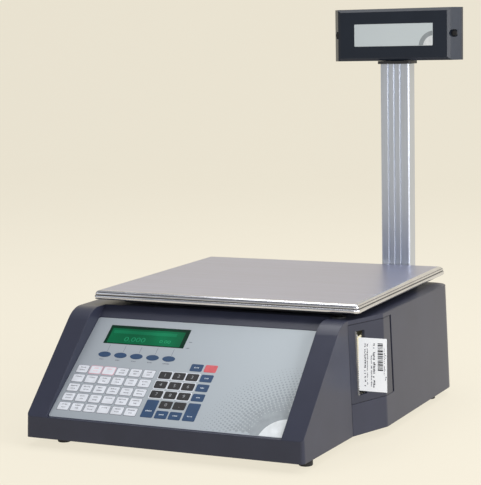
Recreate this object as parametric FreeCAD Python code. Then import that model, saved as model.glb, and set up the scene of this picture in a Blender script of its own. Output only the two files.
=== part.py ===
"""Label printing scale.

A counter scale with a stainless pan, a sloped keypad, a side label printer and a customer display on a pole.
Millimetres, +Z up, +X to the operator's right, +Y away from the operator, towards the customer.
The design axes start at the middle of the front panel, at floor level. Everything is moved on export so that
the origin is at the bottom centre of the whole object's box.
"""
import FreeCAD
import Part
import math
import os
from FreeCAD import Vector as V

os.makedirs("parts", exist_ok=True)

# ---------------------------------------------------------------- driving dimensions
foot_height = 10.0            # floor to the casing's lower edge
case_top = 145.0              # top face of the casing
wall = 3.0                    # moulded wall of the casing and door
draft = 0.04                  # inward lean of the side walls, per mm of height
front_half = 176.0            # half width of the casing at its front edge
front_y = -178.5              # front face
seam_half = 182.5             # half width where the front cheek ends
seam_y = -45.0                # front seam of the printer door
bend_x, bend_y = 204.0, 14.0  # where the slanted printer face meets the side face
rear_x, rear_y = 209.5, 268.0 # right rear corner of the casing, before rounding
corner_r = 28.0               # rear corners in plan
front_corner_r = 5.0

lip_top = 35.0                # top of the upright front lip
cheek_angle = 43.7            # slope of the two cheeks beside the panel
shoulder_r = 42.0             # rounding from the cheek slope to the flat top

panel_angle = 37.25           # slope of the keypad panel
panel_y, panel_z = -173.1, 35.8   # lower edge of the panel's face
panel_length = 158.6
panel_half = 148.6            # half width of the keypad overlay
panel_gap = 0.4               # between the overlay and the pocket's wall
overlay_t = 0.8

pan_w, pan_d = 350.0, 330.0   # weighing pan
pan_top = case_top + 18.0
pan_x, pan_y = 13.0, 127.0    # pan centre
pan_lip = 11.0
pan_t = 1.2
pan_r = 6.0                   # corner radius of the pan in plan

pole_w, pole_d = 40.6, 24.5   # pole section
pole_x, pole_y = 95.0, 302.0  # its left front corner
pole_bottom = 38.0

head_w, head_h = 178.0, 69.0  # customer display head, over all
head_z = 436.0                # its lower edge
head_front_y = 297.0          # face towards the operator
head_split_y = 315.0          # joint between the two halves
head_rear_y = 340.0           # face towards the customer
head_end_bevel = 11.5         # how far the end facets run in x
head_edge_bevel = 4.0         # how far the top and bottom facets run in z
head_wall = 2.4

web_low, web_high = 61.5, 125.0   # label web, standing on edge
label_out = 36.5              # how far the issued label sticks out
web_t = 0.25
module = 1.0                  # of the printer's gears
pressure_angle = math.radians(20)
tooth_tip, tooth_root = 0.9, 1.2  # height above and depth below the pitch circle, in modules
backlash = 0.06               # taken off each flank, in modules
running = 0.06                # radial clearance of a shaft in its hole
snug = 0.02                   # radial clearance of a pressed or screwed joint
gap = 0.4                     # clearance between parts that move past each other
far = 600.0                   # beyond every part, for cutting tools

# ---------------------------------------------------------------- small helpers


def box(x0, x1, y0, y1, z0, z1):
    return Part.makeBox(x1 - x0, y1 - y0, z1 - z0, V(x0, y0, z0))


def rod(x, y, z0, z1, r):
    return Part.makeCylinder(r, z1 - z0, V(x, y, z0))


def rod_y(x, z, y0, y1, r):
    return Part.makeCylinder(r, y1 - y0, V(x, y0, z), V(0, 1, 0))


def fuse(*shapes):
    out = shapes[0]
    for s in shapes[1:]:
        out = out.fuse(s)
    return out.removeSplitter()


def cut(shape, *tools):
    for t in tools:
        shape = shape.cut(t)
    return shape


def group(*shapes):
    return Part.makeCompound(list(shapes))


def prism_x(points, x0, x1):
    """A prism along X from an outline of (y, z) points."""
    wire = Part.makePolygon([V(x0, y, z) for y, z in points] + [V(x0, *points[0])])
    return Part.Face(wire).extrude(V(x1 - x0, 0, 0))


least_r = 0.4                 # no corner in plan is sharper than this


def rounded_wire(corners, z, inset=0.0):
    """A closed wire at height z through (x, y, radius) corners, anticlockwise, each side moved in by inset."""
    n = len(corners)
    lines = []
    for i in range(n):
        (x0, y0, _), (x1, y1, _) = corners[i], corners[(i + 1) % n]
        d = V(x1 - x0, y1 - y0, 0).normalize()
        lines.append((V(x0, y0, 0) + V(-d.y, d.x, 0) * inset, d))
    edges, starts, ends = [], [], []
    for i in range(n):
        (p, d), (q, e) = lines[i - 1], lines[i]
        turn = d.x * e.y - d.y * e.x
        t = ((q.x - p.x) * e.y - (q.y - p.y) * e.x) / turn
        corner = p + d * t
        r = max(least_r, corners[i][2] - inset * (1 if turn > 0 else -1))
        half = math.acos(max(-1.0, min(1.0, d.dot(e)))) / 2
        back = r * math.tan(half)
        a, b = corner - d * back, corner + e * back
        inward = (e - d).normalize()
        mid = corner + inward * (r / math.cos(half) - r)
        starts.append(a)
        ends.append(b)
        edges.append((a, mid, b))
    lift = V(0, 0, z)
    wire = []
    for i in range(n):
        a, mid, b = edges[i]
        wire.append(Part.Arc(a + lift, mid + lift, b + lift).toShape())
        wire.append(Part.LineSegment(b + lift, starts[(i + 1) % n] + lift).toShape())
    return Part.Wire(wire)


def rounded_block(x0, x1, y0, y1, z0, z1, r):
    corners = [(x0, y0, r), (x1, y0, r), (x1, y1, r), (x0, y1, r)]
    return Part.Face(rounded_wire(corners, z0)).extrude(V(0, 0, z1 - z0))


def gear(count, z0, z1, bore, phase):
    """A spur gear about the Z axis at the origin, with involute flanks and a little backlash."""
    pitch_r = count * module / 2
    base_r = pitch_r * math.cos(pressure_angle)
    tip_r, root_r = pitch_r + tooth_tip * module, pitch_r - tooth_root * module
    half_tooth = math.pi / (2 * count) - backlash * module / pitch_r

    def involute(r):
        a = math.acos(min(1.0, base_r / r))
        return math.tan(a) - a

    at_pitch = involute(pitch_r)
    start_r = max(root_r, base_r)
    radii = [start_r + (tip_r - start_r) * k / 4 for k in range(5)]
    points = []
    for i in range(count):
        centre = phase + 2 * math.pi * i / count
        flank = [(r, half_tooth + at_pitch - involute(r)) for r in radii]
        flank = [(root_r, flank[0][1])] + flank if root_r < base_r else flank
        for r, a in flank:
            points.append(V(r * math.cos(centre - a), r * math.sin(centre - a), z0))
        for r, a in reversed(flank):
            points.append(V(r * math.cos(centre + a), r * math.sin(centre + a), z0))
    disc = Part.Face(Part.makePolygon(points + [points[0]])).extrude(V(0, 0, z1 - z0))
    return disc.cut(rod(0, 0, z0 - 1, z1 + 1, bore))


def meshed_phase(phase_a, teeth_a, at_a, teeth_b, at_b):
    """The phase that puts gear b's gaps over gear a's teeth, with the centres at at_a and at_b."""
    toward = math.atan2(at_b.y - at_a.y, at_b.x - at_a.x)
    ra, rb = teeth_a * module / 2, teeth_b * module / 2
    return toward + math.pi - (ra * (phase_a - toward) + math.pi * module / 2) / rb


parts = {}


# ---------------------------------------------------------------- casing
base_z = foot_height
plan = [
    (-front_half, front_y, front_corner_r), (front_half, front_y, front_corner_r),
    (seam_half, seam_y, 2.0), (bend_x, bend_y, 12.0),
    (rear_x, rear_y, corner_r), (-seam_half, rear_y, corner_r), (-seam_half, seam_y, 40.0),
]


def case_block(inset, z0, z1):
    """The drafted outside of the casing between two heights, moved in by inset."""
    low = rounded_wire(plan, z0, inset + draft * (z0 - base_z))
    high = rounded_wire(plan, z1, inset + draft * (z1 - base_z))
    return Part.makeLoft([low, high], True, True)


lip_y = front_y + draft * (lip_top - base_z)
cheek = math.radians(cheek_angle)
slope = math.radians(panel_angle)
slope_dir = V(0, math.cos(slope), math.sin(slope))
panel_up = V(0, -math.sin(slope), math.cos(slope))
panel_foot = V(0, panel_y, panel_z)


def above_cheeks(inset):
    """What lies above the cheek slope, its rounded shoulder and the flat top, moved in by inset."""
    top, r = case_top - inset, shoulder_r - inset
    corner_y = lip_y + (case_top - lip_top) / math.tan(cheek) + inset * math.tan(cheek / 2)
    back = r * math.tan(cheek / 2)
    a = V(-far, corner_y - back * math.cos(cheek), top - back * math.sin(cheek))
    b = V(-far, corner_y + back, top)
    mid = V(-far, b.y - r * math.sin(cheek / 2), top - r + r * math.cos(cheek / 2))
    low = a - V(0, math.cos(cheek), math.sin(cheek)) * far
    corners = [b, V(-far, far, top), V(-far, far, far), V(-far, low.y, far), low, a]
    edges = [Part.LineSegment(p, q).toShape() for p, q in zip(corners, corners[1:])]
    edges.append(Part.Arc(a, mid, b).toShape())
    return Part.Face(Part.Wire(Part.__sortEdges__(edges))).extrude(V(2 * far, 0, 0))


def above_panel(inset, half):
    """What lies above the front ledge and the plane of the keypad panel, moved in by inset."""
    ledge = lip_top - inset
    foot_y = panel_y - (panel_z - ledge) / math.tan(slope) + inset / math.sin(slope)
    top_y = foot_y + (far - ledge) / math.tan(slope)
    return prism_x([(-far, ledge), (foot_y, ledge), (top_y, far), (-far, far)], -half, half)


def on_panel(shape):
    """Moves a shape drawn flat (x across, y up the slope, z out of the face) onto the panel."""
    shape.Placement = FreeCAD.Placement(panel_foot, FreeCAD.Rotation(V(1, 0, 0), panel_angle))
    return shape


# printer door, in the right side wall: it swings on a pin that leans with the wall
right_in, right_out = 160.0, 240.0   # in x, a band that holds the whole right wall
seam_deep = 0.8               # groove that carries the front seam on below the door
door_low, door_high = 47.5, 139.5
door_seam = 0.6               # gap at its front edge
door_gap = 0.4                # gap along its top and bottom
hinge_r = 4.6                 # barrel at the door's rear edge
hinge_pin_r = 1.5
hinge_y = 35.5
side_lean = (rear_x - bend_x) / (rear_y - bend_y)


def side_x(y, z):
    """Outer face of the right side wall behind the bend."""
    return bend_x + side_lean * (y - bend_y) - draft * (z - base_z)


hinge_dir = V(-draft, 0, 1).normalize()


def hinge_at(z):
    return V(side_x(hinge_y, z) - hinge_r - 0.2, hinge_y, z)


def hinge_rod(z0, z1, r):
    p, q = hinge_at(z0), hinge_at(z1)
    return Part.makeCylinder(r, (q - p).Length, p, hinge_dir)


case_solid = case_block(0, base_z, case_top).cut(above_cheeks(0))
case_solid = case_solid.cut(above_panel(0, panel_half + panel_gap))
hollow = case_block(wall, base_z - 1, case_top - wall).cut(above_cheeks(wall))
hollow = hollow.cut(above_panel(wall + overlay_t, panel_half + panel_gap + wall))
top_casing = case_solid.cut(hollow)

# seat of the keypad overlay and the display opening in its floor
lcd_x0, lcd_x1, lcd_s0, lcd_s1 = -126.0, -17.5, 117.7, 147.7
seat_half = panel_half + panel_gap
seat = on_panel(box(-seat_half, seat_half, 0, panel_length + panel_gap, -overlay_t, 5))
lcd_hole = on_panel(box(lcd_x0, lcd_x1, lcd_s0, lcd_s1, -10, 5))
top_casing = cut(top_casing, seat, lcd_hole)

# door opening, with the two lugs that hold the hinge pin
lug_half, lug_reach = 7.0, 20.0
open_low, open_high = door_low - door_gap, door_high + door_gap
door_opening = box(right_in, right_out, seam_y, hinge_y + hinge_r + door_gap, open_low, open_high)
lugs = []
for z0, z1 in ((open_low - lug_half, open_low), (open_high, case_top)):
    mid = hinge_at((z0 + z1) / 2)
    lug = box(mid.x - lug_half, mid.x + lug_reach, mid.y - lug_half, mid.y + lug_half, z0, z1)
    lugs.append(lug.common(case_solid))
top_casing = fuse(top_casing, *lugs).cut(door_opening)
pin_z0, pin_z1 = open_low - lug_half + 1, case_top - 1.5
top_casing = top_casing.cut(hinge_rod(pin_z0, pin_z1, hinge_pin_r + snug / 2))
seam_groove = box(right_in, right_out, seam_y, seam_y + door_seam, 0, open_low)
top_casing = top_casing.cut(seam_groove.cut(case_block(seam_deep, base_z - 1, case_top + 1)))

# screw bosses from the base plate up to the roof
plate_z, plate_t = base_z + 3.0, 2.0
plate_top = plate_z + plate_t
screw_r, boss_r = 2.0, 4.5
screw_spots = [(-164, -120), (164, -120), (0, -166), (-172, 60),
               (195.5, 110), (-150, 248), (30, 248), (178, 246)]
screw_deep = 12.0             # length of screw in its boss
for x, y in screw_spots:
    boss = rod(x, y, plate_top, case_top, boss_r).common(case_solid)
    pilot = rod(x, y, plate_top - 1, plate_top + screw_deep + 2, screw_r + snug)
    top_casing = fuse(top_casing, boss.cut(seat)).cut(pilot)

# opening for the load post, seat of the bubble level
cell_w, cell_h, cell_l = 40.0, 30.0, 150.0
cell_y0, cell_y1 = pan_y - cell_l / 2, pan_y + cell_l / 2
post_x, post_y, post_r = pan_x, cell_y0 + 21.0, 14.0
level_x, level_y, level_r = 158.0, -25.0, 7.5
post_hole_gap = 4.0           # the live post must never touch the casing
for x, y, r in ((post_x, post_y, post_r + post_hole_gap), (level_x, level_y, level_r)):
    top_casing = top_casing.cut(rod(x, y, case_top - 20, case_top + 5, r))

# rear connector panel: a plate let into the wall, on a ledge
rear_x0, rear_x1, rear_z0, rear_z1 = -134.0, -14.0, 34.0, 86.0
panel_plate = 1.4
panel_ledge = 4.0             # width of the ledge that the plate lies on


def rear_window(margin):
    return box(rear_x0 + margin, rear_x1 - margin, 150, 300, rear_z0 + margin, rear_z1 - margin)


outer_skin = case_block(0, base_z, case_top).cut(case_block(panel_plate, base_z - 1, case_top + 1))
top_casing = cut(top_casing, outer_skin.common(rear_window(0)), rear_window(panel_ledge))
parts["top_casing"] = top_casing

# ---------------------------------------------------------------- base plate, feet and screws
foot_spots = {"front_left": (-143, -147), "front_right": (164, -144),
              "rear_left": (-158, 226), "rear_right": (190, 214)}
stud_r, pad_r, foot_boss_r, foot_boss_h = 3.9, 8.0, 8.0, 9.0
pad_t, neck_t, stud_top = 7.0, 1.4, 28.0
nut_t = 3.6
base_plate = Part.Face(rounded_wire(plan, plate_z, wall + 0.3 + draft * plate_t)).extrude(V(0, 0, plate_t))
for x, y in foot_spots.values():
    base_plate = fuse(base_plate, rod(x, y, plate_top, plate_top + foot_boss_h, foot_boss_r))
    base_plate = base_plate.cut(rod(x, y, plate_z - 1, plate_top + foot_boss_h + 1, stud_r + running))
for x, y in screw_spots:
    base_plate = base_plate.cut(rod(x, y, plate_z - 1, plate_top + 1, screw_r + 0.2))
# standoffs for the main board
board_x0, board_x1, board_y0, board_y1 = -160.0, -45.0, 30.0, 190.0
board_z, board_t, standoff_r, standoff_pin_r = plate_top + 9.0, 1.6, 3.0, 1.5
board_edge = 6.0              # from the board's edges to its standoffs
board_pins = [(x, y) for x in (board_x0 + board_edge, board_x1 - board_edge)
              for y in (board_y0 + board_edge, board_y1 - board_edge)]
for x, y in board_pins:
    base_plate = fuse(base_plate, rod(x, y, plate_top, board_z, standoff_r))
    base_plate = fuse(base_plate, rod(x, y, board_z, board_z + board_t + 1, standoff_pin_r))
parts["base_plate"] = base_plate

for name, (x, y) in foot_spots.items():
    pad = rod(x, y, 0, pad_t, pad_r)
    pad = pad.makeFillet(1.2, [e for e in pad.Edges if e.Curve.TypeId == "Part::GeomCircle"])
    neck = rod(x, y, pad_t, pad_t + neck_t, pad_r * 0.7)
    parts["foot_" + name] = fuse(pad, neck, rod(x, y, pad_t + neck_t, stud_top, stud_r))


def hexagon(x, y, z0, z1, flats):
    points = [V(x + flats / math.sqrt(3) * math.cos(math.radians(60 * k)),
                y + flats / math.sqrt(3) * math.sin(math.radians(60 * k)), z0) for k in range(7)]
    return Part.Face(Part.makePolygon(points)).extrude(V(0, 0, z1 - z0))


nuts = []
for x, y in foot_spots.values():
    nuts.append(hexagon(x, y, plate_z - nut_t, plate_z, 13.0).cut(rod(x, y, 0, stud_top, stud_r + running)))
parts["foot_locknuts"] = group(*nuts)

screw_head_r, screw_head_t = 3.6, 2.2
slot_half = 0.5               # of a screw head's driving slot
screws = []
for x, y in screw_spots:
    head_part = rod(x, y, plate_z - screw_head_t, plate_z, screw_head_r)
    head_part = head_part.cut(box(x - 3, x + 3, y - slot_half, y + slot_half, 0, plate_z - 1.2))
    screws.append(fuse(head_part, rod(x, y, plate_z, plate_top + screw_deep, screw_r)))

# ---------------------------------------------------------------- keypad panel and operator display
pad_depth = 0.25              # the sheet between the keys lies this much lower than their tops
overlay = rounded_block(-panel_half, panel_half, 0.4, panel_length, -overlay_t, -pad_depth, 2.0)
key_w, key_h, low_key_h = 15.7, 11.6, 10.4
tall_key_h = 24.8
preset_x = [-135 + 17.8 * k for k in range(6)]
number_x = [-24.3, -6.4, 11.0, 29.2]
row_s = [75.0, 60.5, 46.0]    # rows shared by the presets and the numbers
low_row_s = [31.6, 17.2]
soft_key_s, clear_row_s = 100.1, 89.8
key_pads = [(x, s, key_w, key_h) for s in row_s + low_row_s for x in preset_x]
key_pads += [(x, s, key_w, low_key_h) for s in row_s for x in number_x]
key_pads += [(x, clear_row_s, key_w, low_key_h) for x in number_x[2:]]
key_pads += [(x, sum(low_row_s) / 2, key_w, tall_key_h) for x in (number_x[0], number_x[3])]
key_pads += [(x, s, key_w, low_key_h) for x in number_x[1:3] for s in low_row_s]
key_pads += [(-116 + 21.6 * k, soft_key_s, 17.0, 8.5) for k in range(5)]
tops = []
for x, s, w, h in key_pads:
    tops.append(rounded_block(x - w / 2, x + w / 2, s - h / 2, s + h / 2, -pad_depth - 0.05, 0, 2.5))
overlay = overlay.fuse(tops).removeSplitter()


def lcd_box(grow, z0, z1):
    """A block in line with the display opening, grown by a margin, drawn flat."""
    return box(lcd_x0 - grow, lcd_x1 + grow, lcd_s0 - grow, lcd_s1 + grow, z0, z1)


parts["keypad_overlay"] = on_panel(overlay.cut(lcd_box(0, -5, 5)))
parts["lcd_window"] = on_panel(lcd_box(-0.2, -overlay_t, -pad_depth))
floor_n = -overlay_t - wall
lcd_body_t, lcd_board_t = 7.0, 1.6
lcd_glass = lcd_box(-0.3, floor_n, -overlay_t)
lcd_body = lcd_box(4, floor_n - lcd_body_t, floor_n)
lcd_board = lcd_box(6, floor_n - lcd_body_t - lcd_board_t, floor_n - lcd_body_t)
parts["lcd_module"] = on_panel(fuse(lcd_glass, lcd_body, lcd_board))

# ---------------------------------------------------------------- weighing pan, its support and the load cell
bolt_r = 2.4
support_w, support_d = 296.0, 284.0
support_low, support_top, support_t = case_top + 1.5, pan_top - 5.5, 2.5
buffer_r, cup_t = 9.0, 1.3


def pan_form(inset, z0):
    block = rounded_block(pan_x - pan_w / 2 + inset, pan_x + pan_w / 2 - inset, pan_y - pan_d / 2 + inset,
                          pan_y + pan_d / 2 - inset, z0, pan_top - inset, pan_r - inset)
    top_edges = [e for e in block.Edges if abs(e.BoundBox.ZMin - (pan_top - inset)) < 1e-4]
    return block.makeFillet(4.0 - inset, top_edges)


buffer_spots = [(pan_x + sx * 120, pan_y + sy * 115) for sx in (-1, 1) for sy in (-1, 1)]
pan = pan_form(0, pan_top - pan_lip).cut(pan_form(pan_t, pan_top - pan_lip - 5))
for x, y in buffer_spots:
    cup = rod(x, y, support_top + 1, pan_top - pan_t, buffer_r + gap + cup_t)
    pan = fuse(pan, cup.cut(rod(x, y, 0, far, buffer_r + gap)))
parts["weighing_pan"] = pan

sx0, sx1 = pan_x - support_w / 2, pan_x + support_w / 2
sy0, sy1 = pan_y - support_d / 2, pan_y + support_d / 2
support = rounded_block(sx0, sx1, sy0, sy1, support_low, support_top, 12)
support = support.cut(rounded_block(sx0 + support_t, sx1 - support_t, sy0 + support_t, sy1 - support_t,
                                    support_low - 5, support_top - support_t, 9.5))
window_x, window_y = 68.0, 64.0   # centres of the four windows, from the pan's centre
window_half_x, window_half_y = 40.0, 38.0
for sx in (-1, 1):
    for sy in (-1, 1):
        x, y = pan_x + sx * window_x, pan_y + sy * window_y
        support = support.cut(rounded_block(x - window_half_x, x + window_half_x, y - window_half_y,
                                            y + window_half_y, support_low - 5, support_top + 5, 10))
rib_x, rib_y, rib_half = 20.0, 18.0, 1.5
rib_z0, rib_z1 = support_low + 1, support_top - 1
ribs = []
for s in (-1, 1):
    x, y = pan_x + s * rib_x, pan_y + s * rib_y
    ribs.append(box(x - rib_half, x + rib_half, sy0 + 1, sy1 - 1, rib_z0, rib_z1))
    ribs.append(box(sx0 + 1, sx1 - 1, y - rib_half, y + rib_half, rib_z0, rib_z1))
flange_r, flange_bolt_r = 18.0, 11.0
support = fuse(support, *ribs)
support = support.cut(rod(post_x, post_y, 0, support_top - support_t, flange_r + 0.5))
support_bolts = [(post_x + flange_bolt_r * math.cos(a), post_y + flange_bolt_r * math.sin(a))
                 for a in (math.pi / 4, 3 * math.pi / 4, 5 * math.pi / 4, 7 * math.pi / 4)]
for x, y in support_bolts:
    support = support.cut(rod(x, y, 0, far, bolt_r + 0.05))
parts["pan_support"] = support
parts["pan_buffers"] = group(*[rod(x, y, support_top, pan_top - pan_t, buffer_r) for x, y in buffer_spots])

# load cell: a block whose two joined holes leave thin webs that bend
cell_z = plate_top + 12.0
cell_top = cell_z + cell_h
cell_x0, cell_x1 = pan_x - cell_w / 2, pan_x + cell_w / 2
cell_z = plate_top + 12.0
cell_top = cell_z + cell_h
hole_y, hole_r, web_gap = 22.0, 11.0, 0.8
joined_half = cell_h / 2 - 9
cell_mid_z = cell_z + cell_h / 2
cell = box(cell_x0, cell_x1, cell_y0, cell_y1, cell_z, cell_top)
for y in (pan_y - hole_y, pan_y + hole_y):
    cell = cell.cut(Part.makeCylinder(hole_r, cell_w + 2, V(cell_x0 - 1, y, cell_mid_z), V(1, 0, 0)))
cell = cell.cut(box(cell_x0 - 1, cell_x1 + 1, pan_y - hole_y, pan_y + hole_y,
                    cell_mid_z - joined_half, cell_mid_z + joined_half))
split = pan_y + hole_y
fixed_bolts = [(pan_x + sx * 12, cell_y1 - dy) for sx in (-1, 1) for dy in (10, 30)]
live_bolts = [(pan_x + sx * 14.5, post_y + dy) for sx in (-1, 1) for dy in (-14, 14)]
bolt_deep = 15.0              # length of bolt in the load cell
bolt_flats = 8.0
live_end = cell.common(box(-far, far, -far, split - web_gap / 2, 0, far))
fixed_end = cell.common(box(-far, far, split + web_gap / 2, far, 0, far))
for x, y in live_bolts:
    live_end = live_end.cut(rod(x, y, cell_top - bolt_deep - 1, cell_top + 1, bolt_r + snug))
for x, y in fixed_bolts:
    fixed_end = fixed_end.cut(rod(x, y, cell_z - 1, cell_z + bolt_deep + 1, bolt_r + snug))
parts["load_cell_live_end"] = live_end
parts["load_cell_fixed_end"] = fixed_end

block = box(cell_x0 - 4, cell_x1 + 4, cell_y1 - 40, cell_y1 + 2, plate_top, cell_z)
bolt_set = []
for x, y in fixed_bolts:
    block = block.cut(rod(x, y, 0, far, bolt_r + 0.1))
    parts["base_plate"] = parts["base_plate"].cut(rod(x, y, 0, plate_top + 1, bolt_r + 0.1))
    bolt_head = hexagon(x, y, plate_z - 2.8, plate_z, bolt_flats)
    bolt_set.append(fuse(bolt_head, rod(x, y, plate_z, cell_z + bolt_deep, bolt_r)))
parts["load_cell_block"] = block
parts["load_cell_bolts"] = group(*bolt_set)

flange_t = 6.0
post = fuse(rounded_block(cell_x0, cell_x1, post_y - 20, post_y + 20, cell_top, cell_top + flange_t, 4),
            rod(post_x, post_y, cell_top, support_low, post_r),
            rod(post_x, post_y, support_low, support_top - support_t, flange_r))
post = post.cut(rod(post_x, post_y, cell_top + 14, support_top, post_r - 4))
bolt_set = []
for x, y in live_bolts:
    post = post.cut(rod(x, y, cell_top - 1, cell_top + flange_t + 1, bolt_r + 0.05))
    bolt_head = hexagon(x, y, cell_top + flange_t, cell_top + flange_t + 3.5, bolt_flats)
    bolt_set.append(fuse(bolt_head, rod(x, y, cell_top + 1 - bolt_deep, cell_top + flange_t, bolt_r)))
for x, y in support_bolts:
    post = post.cut(rod(x, y, support_low - 1, support_top, bolt_r + snug))
    bolt_head = rod(x, y, support_top, support_top + 2.4, screw_head_r)
    bolt_set.append(fuse(bolt_head, rod(x, y, support_low + 1, support_top, bolt_r)))
parts["load_post"] = post
parts["post_bolts"] = group(*bolt_set)

# bubble level, let into the flat top beside the pan
level_low = case_top - 5
level_cup = level_r - 2.0
housing = fuse(rod(level_x, level_y, level_low, case_top, level_r - snug),
               rod(level_x, level_y, case_top, case_top + 1.2, level_r + 1.5))
parts["level_housing"] = housing.cut(rod(level_x, level_y, level_low + 1, case_top + 3, level_cup))
vial = rod(level_x, level_y, level_low + 1, case_top + 1.6, level_cup - snug)
parts["level_vial"] = vial.makeFillet(0.8, [e for e in vial.Edges if e.BoundBox.ZMin > case_top + 1.5])

# ---------------------------------------------------------------- label printer
deck_z, deck_t = 56.0, 2.5
deck_top = deck_z + deck_t
web_y = -31.6                 # face of the web that carries the print
platen_r, platen_shaft_r = 7.0, 3.0
roll_r, core_r, hub_bore_r = 34.6, 20.0, 4.0
platen_at = V(166, web_y + web_t + 0.3 + platen_r, 0)
teeth = {"pinion": 16, "platen": 30, "idler": 40, "takeup": 44}


def centres(a, b):
    return (teeth[a] + teeth[b]) * module / 2


def away(start, distance, degrees):
    a = math.radians(degrees)
    return start + V(math.cos(a), math.sin(a), 0) * distance


motor_at = away(platen_at, centres("platen", "pinion"), 155)
idler_at = away(platen_at, centres("platen", "idler"), 85)
takeup_at = away(idler_at, centres("idler", "takeup"), 103)
roll_at = V(90, web_y + roll_r, 0)
gear_z0, gear_z1 = deck_z - 8.5, deck_z - 2.5
upper_z = 129.0               # upper arm of the chassis
pivot_at = V(157.5, -46, 0)
lever_at = V(160, -41, 0)

pivot_pin_r, spindle_r, motor_boss_r = 2.0, 3.0, 5.5
deck = rounded_block(46, 180, -52, 84, deck_z, deck_top, 5)
deck = deck.cut(box(40, 153, -60, -42, 0, 200))
front_wall = box(153, 171, -52, -50, deck_z, upper_z + deck_t)
arm = rounded_block(153, 175, -52, -6, upper_z, upper_z + deck_t, 3)
prop = rod(172, -9.5, deck_top, upper_z, 2.5)
leg_w, leg_t, leg_foot = 20.0, 2.0, 8.5   # bent-down legs and the flanges they stand on
legs = [box(154, 154 + leg_w, -50, -50 + leg_t, plate_top, deck_z + 1)]
for y0 in (-36, 56):
    legs.append(box(46.5, 46.5 + leg_t, y0, y0 + leg_w, plate_top, deck_z + 1))
    legs.append(box(48.5 - leg_foot, 48.5, y0, y0 + leg_w, plate_top, plate_top + leg_t))
for x0 in (90, 154):
    legs.append(box(x0, x0 + leg_w, 80, 80 + leg_t, plate_top, deck_z + 1))
    legs.append(box(x0, x0 + leg_w, 80, 80 + leg_foot, plate_top, plate_top + leg_t))
stub = rod(roll_at.x, roll_at.y, deck_z, 112, hub_bore_r)
idler_stub = rod(idler_at.x, idler_at.y, gear_z0 - 1, deck_z + 1, spindle_r)
chassis = fuse(deck, front_wall, arm, prop, stub, idler_stub, *legs)
for p, r, z1 in ((platen_at, platen_shaft_r, 200), (takeup_at, spindle_r, 100), (motor_at, motor_boss_r, 100)):
    chassis = chassis.cut(rod(p.x, p.y, gear_z0, z1, r + running))
chassis = chassis.cut(rod(pivot_at.x, pivot_at.y, deck_z - 1, upper_z + 5, pivot_pin_r + snug / 2))
chassis = chassis.cut(rod(lever_at.x, lever_at.y, upper_z - 1, upper_z + 5, pivot_pin_r + running))
chassis = chassis.common(case_block(wall + 1.5, base_z - 1, case_top - wall))
parts["printer_chassis"] = chassis

motor_half, motor_h, motor_shaft_r = 12.0, 26.0, 2.0


def motor_block(half, z0, z1):
    return rounded_block(motor_at.x - half, motor_at.x + half, motor_at.y - half, motor_at.y + half, z0, z1, 4)


motor = fuse(motor_block(motor_half, deck_top, deck_top + motor_h),
             rod(motor_at.x, motor_at.y, deck_z + 0.5, deck_top, motor_boss_r))
motor = motor.cut(rod(motor_at.x, motor_at.y, deck_z, deck_top + 20, motor_shaft_r + running))
for z in (deck_top + 6, deck_top + 20):
    motor = motor.cut(motor_block(motor_half + 8, z, z + 0.8).cut(motor_block(motor_half - 0.6, z, z + 0.8)))
parts["stepper_motor"] = motor


phases = {"platen": 0.0}
phases["pinion"] = meshed_phase(phases["platen"], teeth["platen"], platen_at, teeth["pinion"], motor_at)
phases["idler"] = meshed_phase(phases["platen"], teeth["platen"], platen_at, teeth["idler"], idler_at)
phases["takeup"] = meshed_phase(phases["idler"], teeth["idler"], idler_at, teeth["takeup"], takeup_at)


def place_gear(name, at, bore):
    g = gear(teeth[name], gear_z0, gear_z1, bore, phases[name])
    g.translate(at)
    return g


pinion = place_gear("pinion", motor_at, 1.0)
parts["motor_pinion"] = fuse(pinion, rod(motor_at.x, motor_at.y, gear_z0, deck_top + 18, motor_shaft_r))
dish_deep = 1.5               # of the ring-shaped hollows in both faces of a gear
for name, at, bore, r_in, r_out in (("platen", platen_at, platen_shaft_r, 5.5, 12.0),
                                    ("idler", idler_at, spindle_r + running, 6.0, 16.0),
                                    ("takeup", takeup_at, spindle_r, 6.0, 18.0)):
    wheel = place_gear(name, at, bore)
    for z0, z1 in ((gear_z0 - 1, gear_z0 + dish_deep), (gear_z1 - dish_deep, gear_z1 + 1)):
        wheel = wheel.cut(rod(at.x, at.y, z0, z1, r_out).cut(rod(at.x, at.y, z0, z1, r_in)))
    parts[name + "_gear"] = wheel

roller_z0, roller_z1 = web_low - 1.0, web_high + 2.0
sleeve = rod(platen_at.x, platen_at.y, roller_z0, roller_z1, platen_r)
parts["platen_sleeve"] = sleeve.cut(rod(platen_at.x, platen_at.y, 0, far, platen_shaft_r))
parts["platen_shaft"] = rod(platen_at.x, platen_at.y, gear_z0, upper_z + deck_t + 0.5, platen_shaft_r)

flange_z0, flange_z1 = deck_top + 0.8, web_low - 0.5
spool_r, spool_bore_r, wound_r = 12.0, 9.5, 17.0
spool = fuse(rod(takeup_at.x, takeup_at.y, gear_z0, flange_z1 + 1, spindle_r),
             rod(takeup_at.x, takeup_at.y, flange_z0, flange_z1, 24),
             rod(takeup_at.x, takeup_at.y, flange_z0 + 0.7, web_high + 3, spool_r))
spool = spool.cut(rod(takeup_at.x, takeup_at.y, web_low + 1.5, far, spool_bore_r))
tuck_half = 0.8               # slit that holds the end of the backing paper
spool = spool.cut(box(takeup_at.x - tuck_half, takeup_at.x + tuck_half, takeup_at.y, takeup_at.y + 15,
                      web_low, 130))
parts["takeup_spool"] = spool
wound = rod(takeup_at.x, takeup_at.y, web_low, web_high, wound_r)
parts["wound_backing"] = wound.cut(rod(takeup_at.x, takeup_at.y, 0, far, spool_r))

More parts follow.
